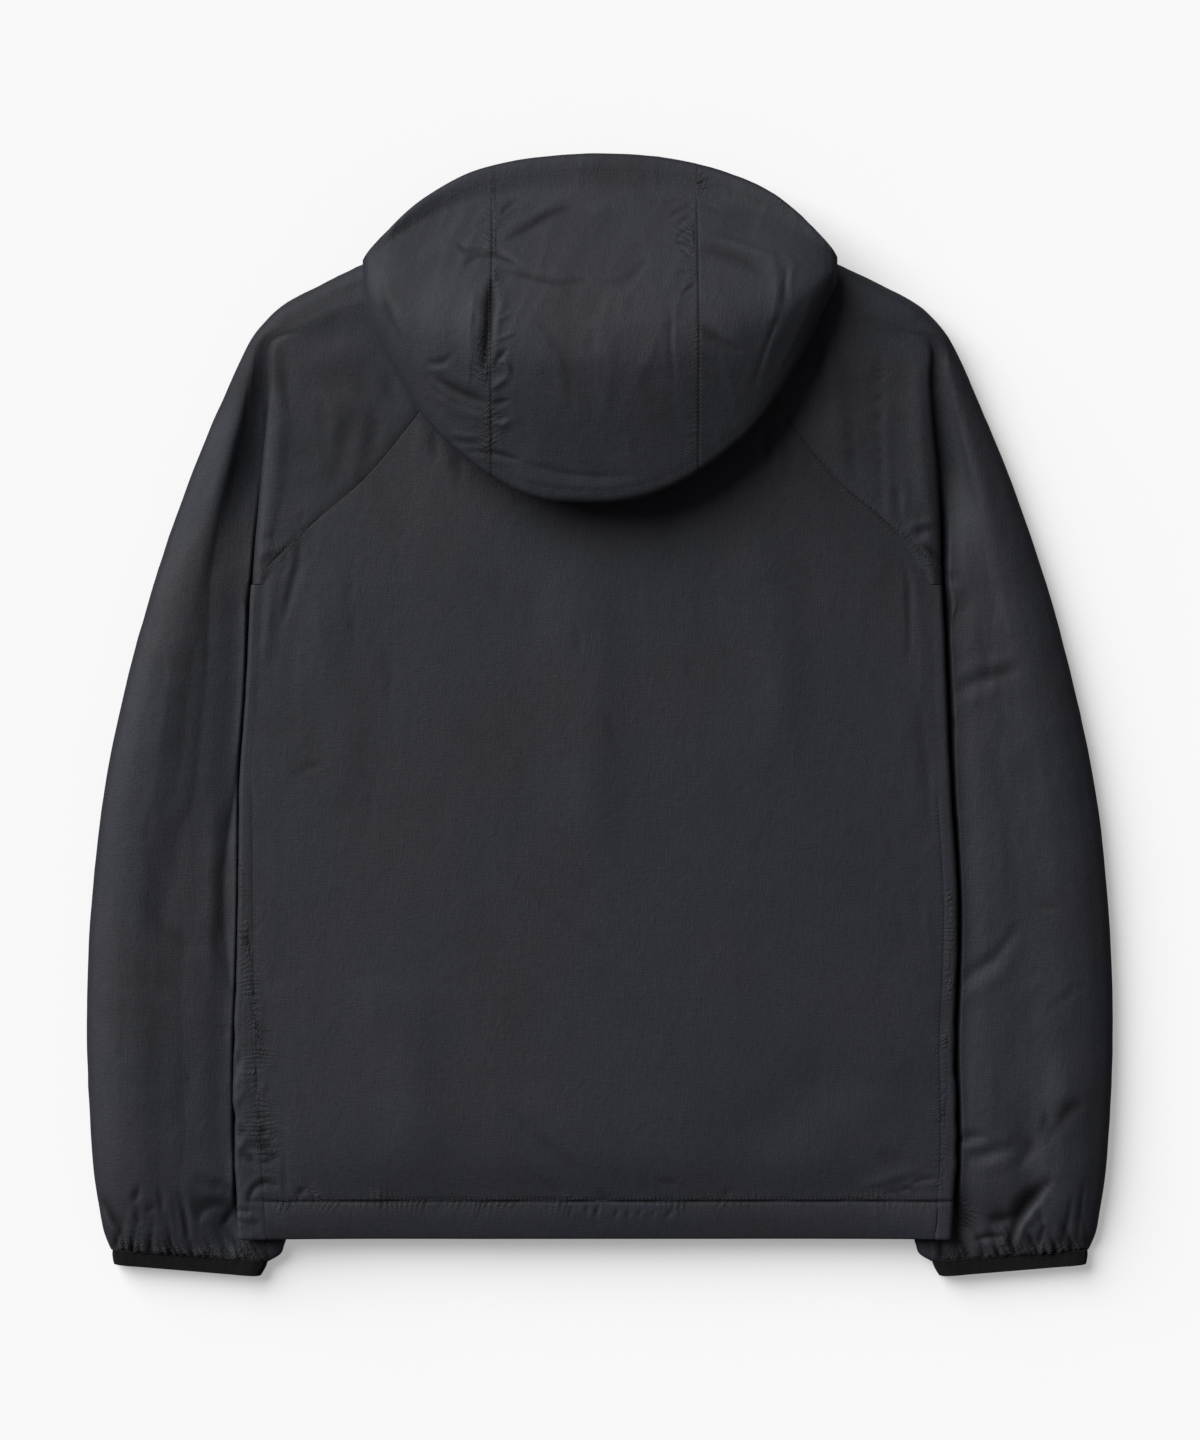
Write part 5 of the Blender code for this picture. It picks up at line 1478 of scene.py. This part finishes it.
def hem_front_cloth(side, word, shell):
    rows = [front_body_row(side, hem_y(share)) for share in (0.0, 0.25, 0.5, 0.75, 1.0)]
    down = (0.0022, 0.0005, 0.003, "end")
    across = {
        "under": (0.0030, 0.0012, 0.010, "start"),
        "tucked": (0.0030,),
        "wrap": (0.0010,),
    }
    name = f"hem_front_{word}"
    return cloth(name, rows, HEM_CLOTH, -side, shell, hem_relief, down, across)


def sleeve_cloth(side, word, shell):
    rows = [shoulder_row(side, *row) for row in SHOULDER_ROWS]
    rows += [arm_row(side, *row) for row in ARM_ROWS]
    down = (0.0038, 0.0011, 0.045, "end")
    across = {
        "arm": (0.0013,),
        "under": (0.0056, 0.0016, 0.012, "start"),
        "fold": (0.0020,),
        "shoulder": (0.0028,),
    }
    name = f"sleeve_{word}"
    relief = sleeve_relief(side)
    corners = (len(SHOULDER_ROWS) - 1,)
    return cloth(name, rows, CLOTH, side, shell, relief, down, across, corners, ("body", "arm"))


def cuff_cloth(side, word, binding):
    down, across = (0.0013, 0.0005, 0.003, "start", "end"), {"ring": (0.0005,)}
    name = f"cuff_{word}"
    relief = cuff_relief(side)
    return cloth(
        name, cuff_rows(side), CUFF_CLOTH, -side, binding, relief, down, across, seams=()
    )


HOOD_ACROSS = {
    "hood": (0.0014,),
    "lying": (0.0052,),
    "casing": (0.0015,),
    "droop": (0.0022,),
    "chin": (0.0034,),
}


def hood_side_cloth(side, word, shell):
    outer = HOOD_CORNER - (HOOD_CORNER - NECK_SIDE[0]) * np.linspace(0.0, 1.0, 11) ** 1.4
    rows = [hood_row(side * distance) for distance in outer]
    seam = abs(HOOD_SEAM[side]) + SEAM_GAP / 2
    for distance in (0.0900, (0.0900 + seam) / 2, seam):
        rows.append(hood_row(side * distance) | {"chin": chin_row(side, distance)})
    for distance in (0.056, 0.038, 0.021, ZIP_HALF):
        rows.append({"chin": chin_row(side, distance)})
    name = f"hood_{word}"
    corners = (10, 11, 13)
    settings = ((0.0014,), HOOD_ACROSS, corners, ("hood",))
    return cloth(name, rows, CLOTH, side, shell, hood_relief, *settings)


def hood_middle_cloth(shell):
    seams = HOOD_SEAM[-1] + SEAM_GAP / 2, HOOD_SEAM[1] - SEAM_GAP / 2
    rows = [hood_row(x) for x in np.linspace(*seams, 15)]
    settings = ((0.0016, 0.0012, 0.02, "start", "end"), HOOD_ACROSS, (), ("hood",))
    return cloth("hood_middle", rows, CLOTH, -1, shell, hood_relief, *settings)


# ---------------------------------------------------------------- stitches


def landed(names, x, y, above):
    """Where a plan point lands on the named pieces, from above or from below."""
    start = Vector((x, y, 0.2 if above else -0.05))
    run = Vector((0, 0, -1 if above else 1))
    hits = [surfaces[name].ray_cast(start, run)[0] for name in names]
    hits = [hit for hit in hits if hit is not None]
    if not hits:
        return None
    return max(hits, key=lambda h: h.z) if above else min(hits, key=lambda h: h.z)


def stitch_mesh(lines):
    """Points and faces of short stitches along plan lines: (path, piece names, from above)."""
    points, faces = [], []
    for path, names, above in lines:
        along = lengths_along(path)
        count = max(2, int(along[-1] / STITCH_PITCH))
        for middle in (np.arange(count) + 0.5) * along[-1] / count:
            ends = []
            for at in (middle - STITCH_LENGTH / 2, middle + STITCH_LENGTH / 2):
                x, y = (np.interp(at, along, c) for c in path.T)
                ends.append(landed(names, x, y, above))
            if None in ends or (ends[1] - ends[0]).length > 2 * STITCH_LENGTH:
                continue
            run = (ends[1] - ends[0]).normalized()
            up = Vector((0, 0, 1 if above else -1))
            out = run.cross(up).normalized()
            up = out.cross(run)
            first = len(points)
            for share, wide, lift in STITCH_RINGS:
                centre = ends[0].lerp(ends[1], share) + up * lift * STITCH_RADIUS
                for angle in np.radians((0, 72, 144, 216, 288)):
                    arm = out * np.cos(angle) + up * np.sin(angle)
                    points.append(centre + arm * wide * STITCH_RADIUS)
            for ring in range(3):
                for k in range(5):
                    a, b = first + 5 * ring + k, first + 5 * ring + (k + 1) % 5
                    faces.append((a, b, b + 5, a + 5))
            faces.append(tuple(first + k for k in (4, 3, 2, 1, 0)))
            faces.append(tuple(first + 15 + k for k in range(5)))
    points = [(p.x, p.y, max(p.z, 0.0)) for p in points]
    return points, faces


def stitches(thread):
    """The jacket's topstitching, as one piece each for the hood, the body and what lies below."""
    hood = ("hood_left", "hood_middle", "hood_right")
    hood_lines, body_lines, front_lines = [], [], []
    for side, word in SIDES:
        seam = HOOD_SEAM[side]
        for off in (-0.0018, 0.0018):
            low, high = smooth(HOOD_CROWN, seam) - 0.004, smooth(HOOD_TOP_EDGE, seam) - 0.003
            path = np.array([(seam + off, low), (seam + off, high)])
            hood_lines.append((path, hood, True))
        path = raglan_line(side, -0.0016)[1:-1]
        body_lines.append((path, ("back", f"sleeve_{word}"), True))
        body_lines.append((side_line(side, -0.0016)[4:], ("back",), True))
        y = np.linspace(HEM_SEAM + 0.002, FRONT_NECK_Y - 0.001, 30)
        front_lines.append((plan(0.0080, y, side, 0.0)[:, :2], (f"front_{word}",), False))
        path = np.array([(side * 0.008, HEM_SEAM + 0.0018), (side * 0.225, HEM_SEAM + 0.0018)])
        front_lines.append((path, (f"front_{word}",), False))
        distance = np.linspace(0.008, 0.088, 30)
        path = np.stack([side * distance, lower_rim(distance) - 0.0030], 1)
        front_lines.append((path, (f"hood_{word}",), False))
        ends = np.array([CUFF_TOP_INNER, CUFF_TOP_OUTER]) + (0.0, 0.0028)
        ends = ends + ((0.004, 0.0), (-0.004, 0.0))
        path = resampled(ends * (side, 1), 20)
        body_lines.append((path, (f"sleeve_{word}",), True))
        front_lines.append((path, (f"sleeve_{word}",), False))
    x = np.linspace(-0.150, 0.150, 80)
    rim = np.stack([x, smooth(HOOD_TOP_EDGE, x) - 0.0125], 1)
    hood_lines.append((rim, hood, True))
    x = np.linspace(-0.247, 0.247, 80)
    body_lines.append((np.stack([x, np.full(80, HEM_SEAM + 0.0018)], 1), ("back",), True))
    for name, lines in (("hood", hood_lines), ("body", body_lines), ("front", front_lines)):
        obj = new_object(f"stitches_{name}", *stitch_mesh(lines), thread)


# ---------------------------------------------------------------- zip


def rounded_block(size, bevel, segments=2):
    """Points and faces of a block round the origin with rounded edges."""
    shape = bmesh.new()
    bmesh.ops.create_cube(shape, size=1.0)
    bmesh.ops.scale(shape, vec=size, verts=shape.verts)
    bmesh.ops.bevel(shape, geom=shape.edges[:], offset=bevel, segments=segments, affect="EDGES")
    shape.verts.ensure_lookup_table()
    points = np.array([v.co[:] for v in shape.verts])
    faces = [[v.index for v in f.verts] for f in shape.faces]
    shape.free()
    return points, faces


def blocks(size, bevel, segments, *places):
    """The same rounded block at each of the places."""
    points, faces = rounded_block(size, bevel, segments)
    return [(points + place, faces) for place in places]


def merged(parts):
    """Several (points, faces) as one."""
    points, faces, count = [], [], 0
    for own, own_faces in parts:
        points.append(own)
        faces.extend([[i + count for i in f] for f in own_faces])
        count += len(own)
    return np.concatenate(points), faces


def zip_chain(coil):
    """The coil's turns, one beside the other, and the cord along each edge that they are sewn to."""
    low, high = HEM_BOTTOM + 0.0015, SLIDER_LOW - SEAM_GAP - 0.0002
    middle = (CHAIN_Z[0] + CHAIN_Z[1]) / 2
    at = [
        (side * 0.00115, low + (k + 0.5 + 0.25 * side) * TOOTH_PITCH, middle)
        for k in range(int((high - low) / TOOTH_PITCH))
        for side in (-1, 1)
    ]
    teeth = blocks((0.0029, 0.00062, CHAIN_Z[1] - CHAIN_Z[0] - 0.0001), 0.00024, 1, *at)
    at = [(side * 0.0021, (low + high) / 2, middle) for side in (-1, 1)]
    cords = blocks((0.0007, high - low, 0.0007), 0.0002, 1, *at)
    return new_object("zip_coil_teeth", *merged(teeth + cords), coil)


def zip_tape(side, word, tape):
    near, far = CHAIN_HALF + SEAM_GAP + 0.0001, CHAIN_HALF + TAPE_WIDTH - 0.0001
    x = np.linspace(near, far, 13)
    y = np.linspace(HEM_SEAM + 0.0012, FRONT_NECK_Y + 0.0598, 60)
    grid = np.stack(np.meshgrid(x * side, y), -1)
    ribs = 0.00005 * np.cos(np.arange(13) * np.pi)[None, :] * np.ones((60, 1))
    points = np.concatenate([grid, (TAPE_Z + 0.00006 + ribs)[..., None]], -1).reshape(-1, 3)
    faces = [(a, a + 1, a + 14, a + 13) for j in range(59) for a in range(13 * j, 13 * j + 12)]
    obj = new_object(f"zip_tape_{word}_cloth", points, faces, tape)
    thicken = obj.modifiers.new("wall", "SOLIDIFY")
    thicken.thickness = TAPE_THICK - 0.0002
    thicken.offset = side
    return obj


def zip_slider(metal):
    """Two plates, the post between them and the bridge that holds the pull tab."""
    wide, long, high = SLIDER_SIZE
    y = SLIDER_LOW + long / 2
    plates = [(0, y, 0.00112), (0, y, high - 0.00035)]
    parts = blocks((wide - 0.0001, long - 0.0001, 0.00065), 0.0003, 3, *plates)
    post = (0, y + 0.0032, high / 2 + 0.0004)
    parts += blocks((0.0012, 0.0028, high - 0.0012), 0.0003, 2, post)
    parts += blocks((0.0013, 0.0062, 0.00075), 0.0003, 3, (0, y + 0.0002, 0.00040))
    return new_object("zip_slider_body", *merged(parts), metal)


def zip_tab(metal):
    """The pull tab: two bars with a closed foot and head."""
    wide, long, _ = TAB_SIZE
    y = SLIDER_LOW + 0.0030 - long
    bars = [(side * 0.00145, y + long / 2, 0.00038) for side in (-1, 1)]
    parts = blocks((0.0010, long - 0.0002, 0.0007), 0.0003, 3, *bars)
    foot = (0, y + 0.0046, 0.00039)
    parts += blocks((wide - 0.0001, 0.0090, 0.0007), 0.0003, 3, foot)
    head = (0, y + long - 0.0008, 0.00039)
    parts += blocks((wide - 0.0001, 0.0012, 0.0007), 0.0003, 3, head)
    return new_object("zip_slider_tab", *merged(parts), metal)


def zip_pieces(tape, coil, metal):
    made = {"zip_chain": zip_chain(coil)}
    for side, word in SIDES:
        made[f"zip_tape_{word}"] = zip_tape(side, word, tape)
    made["zip_slider"] = zip_slider(metal)
    tab = zip_tab(metal)
    for node, obj in made.items():
        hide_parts(node)


# ---------------------------------------------------------------- materials


class Nodes:
    """Short way to add and link a material's nodes."""

    def __init__(self, name):
        self.material = bpy.data.materials.new(name)
        self.material.use_nodes = True
        self.tree = self.material.node_tree

    def fill(self, node, values):
        """Links or sets the inputs of a node."""
        for key, value in values.items():
            if isinstance(value, bpy.types.NodeSocket):
                self.tree.links.new(value, node.inputs[key])
            else:
                node.inputs[key].default_value = value
        return node

    def surface(self, values):
        self.fill(self.tree.nodes["Principled BSDF"], values)
        return self.material

    def add(self, kind, values=None, **settings):
        node = self.tree.nodes.new(f"ShaderNode{kind}")
        for name, value in settings.items():
            setattr(node, name, value)
        return self.fill(node, values or {})

    def place(self):
        return self.add("TexCoord").outputs["Object"]

    def weave(self):
        return self.add("UVMap", uv_map="cloth").outputs[0]

    def math(self, operation, a, b=0.0):
        return self.add("Math", {0: a, 1: b}, operation=operation).outputs[0]

    def plus(self, a, b):
        return self.math("ADD", a, b)

    def less(self, a, b):
        return self.math("SUBTRACT", a, b)

    def times(self, a, b):
        return self.math("MULTIPLY", a, b)

    def fade(self, power):
        """About 1 / e to the given power."""
        return self.math("POWER", 0.37, power)

    def noise(self, vector, scale, detail=3.0, rough=0.55):
        values = {"Vector": vector, "Scale": scale, "Detail": detail, "Roughness": rough}
        return self.add("TexNoise", values).outputs["Fac"]

    def stretched(self, vector, scale, detail=3.0, rough=0.55):
        """Noise with its own scale along each axis."""
        values = {"Vector": vector, "Scale": scale}
        vector = self.add("Mapping", values, vector_type="POINT").outputs[0]
        return self.noise(vector, 1.0, detail, rough)

    def ridges(self, vector, scale):
        """Sharp valleys along wandering lines, 0 to about 0.3."""
        return self.math("ABSOLUTE", self.less(self.stretched(vector, scale), 0.5))

    def bands(self, vector, pitch, direction):
        values = {"Vector": vector, "Scale": np.pi / (10 * pitch), "Distortion": 0.0}
        settings = {"wave_type": "BANDS", "bands_direction": direction, "wave_profile": "SIN"}
        return self.add("TexWave", values, **settings).outputs["Fac"]

    def bump(self, *layers):
        """Bumps on each other: the height, distance and strength of each."""
        normal = {}
        for height, distance, strength in layers:
            values = {"Height": height, "Distance": distance, "Strength": strength}
            normal = {"Normal": self.add("Bump", values | normal).outputs[0]}
        return normal["Normal"]

    def ramp(self, value, low, high):
        return self.add("MapRange", {0: value, 3: low, 4: high}).outputs[0]

    def tinted(self, colour, tone):
        values = {0: 1.0, 1: colour, 2: tone}
        return self.add("MixRGB", values, blend_type="MULTIPLY").outputs[0]

    def layer(self, name, output):
        return self.add("Attribute", attribute_name=name).outputs[output]

    def pleats(self, wrinkles):
        """The finest pleats beside the seams: their height in mm, and their painted shade, 1 at their
        bottom and 0 on their crests."""
        at, away, depth = self.add("SeparateXYZ", {0: self.layer("pleats", "Vector")}).outputs
        wave = self.math("ABSOLUTE", self.math("SINE", self.times(at, np.pi)))
        fade = self.fade(self.math("POWER", away, 1.6))
        height = self.plus(self.times(wave, 0.75), self.times(wrinkles, 4.5))
        crest = self.plus(self.times(wave, 0.7), self.times(wrinkles, 3.0))
        low = self.math("POWER", self.math("MAXIMUM", self.less(1.0, crest), 0.0), 1.3)
        shade = self.times(self.times(low, fade), self.math("MINIMUM", depth, 1.0))
        return self.times(self.times(height, fade), depth), shade

    def painted_seam_shade(self):
        """Painted shade along the seams, where their pieces meet, and at the needle holes of their
        topstitches.
        """
        along, off, shown = self.add("SeparateXYZ", {0: self.layer("needle", "Vector")}).outputs
        turn = self.math("SINE", self.times(along, 2 * np.pi / STITCH_PITCH))
        beside = self.math("DIVIDE", self.less(off, 0.0017), 0.00045)
        holes = self.times(self.math("MAXIMUM", turn, 0.0), self.fade(self.times(beside, beside)))
        seam = self.math("DIVIDE", off, 0.00065)
        seam = self.fade(self.times(seam, seam))
        return self.times(self.math("MAXIMUM", holes, seam), self.times(shown, 0.45))


def shell_material():
    """Fine crinkled nylon: dark charcoal, with a soft sheen, uneven dye, and painted shade in its
    crease troughs, pleats and seams.
    """
    n = Nodes("nylon_shell")
    place, weave = n.place(), n.weave()
    large = n.noise(place, 14.0)
    grain = n.stretched(place, (900.0, 900.0, 900.0), 2.0, 0.7)
    warp = n.stretched(place, (1500.0, 130.0, 500.0), 1.0, 0.5)
    weft = n.stretched(place, (130.0, 1500.0, 500.0), 1.0, 0.5)
    slubs = n.plus(warp, weft)
    pleats, pleat_painted_shade = n.pleats(n.ridges(place, (300.0, 420.0, 300.0)))
    # Painted shade: the crease troughs, the pleats' bottoms and the seams darken the colour, and the
    # same mask makes the cloth rougher.
    painted_shade = n.times(n.math("POWER", n.layer("painted_shade", "Fac"), 0.8), 0.75)
    painted_shade = n.plus(painted_shade, n.times(pleat_painted_shade, 0.4))
    painted_shade = n.math("MINIMUM", n.plus(painted_shade, n.painted_seam_shade()), 0.85)
    tone = n.plus(n.ramp(large, 0.92, 1.08), n.ramp(grain, -0.22, 0.22))
    tone = n.plus(tone, n.times(n.less(slubs, 1.0), 0.5))
    tone = n.times(tone, n.less(1.0, painted_shade))
    tint = n.ramp(n.noise(place, 9.0, 2.0), 0.0, 1.0)
    tint = n.add("MixRGB", {0: tint, 1: (1.07, 0.99, 0.97, 1.0), 2: (0.93, 1.01, 1.03, 1.0)})
    crumple = n.ridges(place, (105.0, 60.0, 95.0))
    crinkle = n.ridges(place, (330.0, 190.0, 300.0))
    threads = n.math("MAXIMUM", n.bands(weave, 0.00062, "X"), n.bands(weave, 0.00062, "Y"))
    bumps = (
        (crumple, 0.00042, 1.0),
        (crinkle, 0.00024, 1.0),
        (slubs, 0.00016, 0.8),
        (grain, 0.00025, 0.6),
        (pleats, 0.001, 1.0),
        (threads, 0.00010, 0.6),
    )
    return n.surface(
        {
            "Base Color": n.tinted(n.tinted(SHELL_COLOUR, tone), tint.outputs[0]),
            "Roughness": n.plus(n.ramp(large, 0.57, 0.65), n.times(painted_shade, 0.35)),
            "Specular IOR Level": 0.27,
            "Sheen Weight": 0.03,
            "Sheen Roughness": 0.45,
            "Sheen Tint": (0.75, 0.78, 0.88, 1.0),
            "Normal": n.bump(*bumps),
        }
    )


def binding_material():
    """Ribbed elastic, nearly black."""
    n = Nodes("elastic_binding")
    wear = n.noise(n.place(), 160.0, 4.0, 0.65)
    ribs = n.bands(n.weave(), 0.0011, "Y")
    return n.surface(
        {
            "Base Color": n.tinted(BINDING_COLOUR, n.ramp(wear, 0.7, 1.35)),
            "Roughness": 0.9,
            "Specular IOR Level": 0.12,
            "Sheen Weight": 0.02,
            "Sheen Roughness": 0.5,
            "Normal": n.bump((ribs, 0.0003, 0.6), (wear, 0.0004, 0.5)),
        }
    )


def tape_material():
    n = Nodes("woven_zip_tape")
    place = n.place()
    threads = n.math("MAXIMUM", n.bands(place, 0.0007, "X"), n.bands(place, 0.0009, "Y"))
    return n.surface(
        {
            "Base Color": n.tinted(TAPE_COLOUR, n.ramp(n.noise(place, 900.0), 0.75, 1.3)),
            "Roughness": 0.85,
            "Normal": n.bump((threads, 0.0002, 0.7)),
        }
    )


def plain_material(name, colour, roughness, metallic=0.0, uneven=0.08):
    """A hard or thread surface with slight wear in its gloss."""
    n = Nodes(name)
    wear = n.noise(n.place(), 700.0, 4.0, 0.6)
    return n.surface(
        {
            "Base Color": n.tinted(colour, n.ramp(wear, 0.8, 1.2)),
            "Roughness": n.ramp(wear, roughness - uneven, roughness + uneven),
            "Metallic": metallic,
            "Normal": n.bump((wear, 0.00008, 0.4)),
        }
    )


# ---------------------------------------------------------------- jacket


def jacket():
    shell = shell_material()
    binding = binding_material()
    thread = plain_material("thread", THREAD_COLOUR, 0.55)
    tape = tape_material()
    coil = plain_material("nylon_coil", COIL_COLOUR, 0.42)
    metal = plain_material("painted_slider", SLIDER_COLOUR, 0.34, 1.0)
    pieces = {"back": back_cloth(shell), "hem_back": hem_back_cloth(shell)}
    pieces["hood_middle"] = hood_middle_cloth(shell)
    for side, word in SIDES:
        pieces[f"front_{word}"] = front_cloth(side, word, shell)
        pieces[f"hem_front_{word}"] = hem_front_cloth(side, word, shell)
        pieces[f"sleeve_{word}"] = sleeve_cloth(side, word, shell)
        pieces[f"cuff_{word}"] = cuff_cloth(side, word, binding)
        pieces[f"hood_{word}"] = hood_side_cloth(side, word, shell)
    stitches(thread)
    zip_pieces(tape, coil, metal)


# ---------------------------------------------------------------- studio


def studio():
    mesh = bpy.data.meshes.new("floor")
    mesh.from_pydata([(-6, -6, 0), (6, -6, 0), (6, 6, 0), (-6, 6, 0)], [], [(0, 1, 2, 3)])
    floor = bpy.data.objects.new("floor", mesh)
    floor.location.z = -0.0002
    paper = {
        "Base Color": FLOOR_COLOUR,
        "Emission Color": WHITE,
        "Emission Strength": FLOOR_GLOW,
        "Roughness": 0.9,
        "Specular IOR Level": 0.1,
    }
    mesh.materials.append(Nodes("floor_paper").surface(paper))
    bpy.context.scene.collection.objects.link(floor)
    floor.visible_diffuse = floor.visible_glossy = False

    world = bpy.data.worlds.new("studio")
    world.use_nodes = True
    background = world.node_tree.nodes["Background"].inputs
    background["Color"].default_value = WHITE
    background["Strength"].default_value = WORLD_LIGHT
    bpy.context.scene.world = world

    light = bpy.data.lights.new("key", "SUN")
    light.energy = KEY_LIGHT
    light.angle = np.radians(KEY_ANGLE)
    key = bpy.data.objects.new("key", light)
    key.rotation_mode = "QUATERNION"
    key.rotation_quaternion = Vector(KEY_FROM).to_track_quat("Z", "Y")
    bpy.context.scene.collection.objects.link(key)

    camera = bpy.data.cameras.new("camera")
    camera.lens, camera.sensor_width = 100.0, 36.0
    camera.clip_start, camera.clip_end = 0.1, 50.0
    obj = bpy.data.objects.new("camera", camera)
    obj.location = CAMERA_AT
    bpy.context.scene.collection.objects.link(obj)
    bpy.context.scene.camera = obj
    bpy.context.scene.view_settings.view_transform = "Standard"


jacket()
studio()
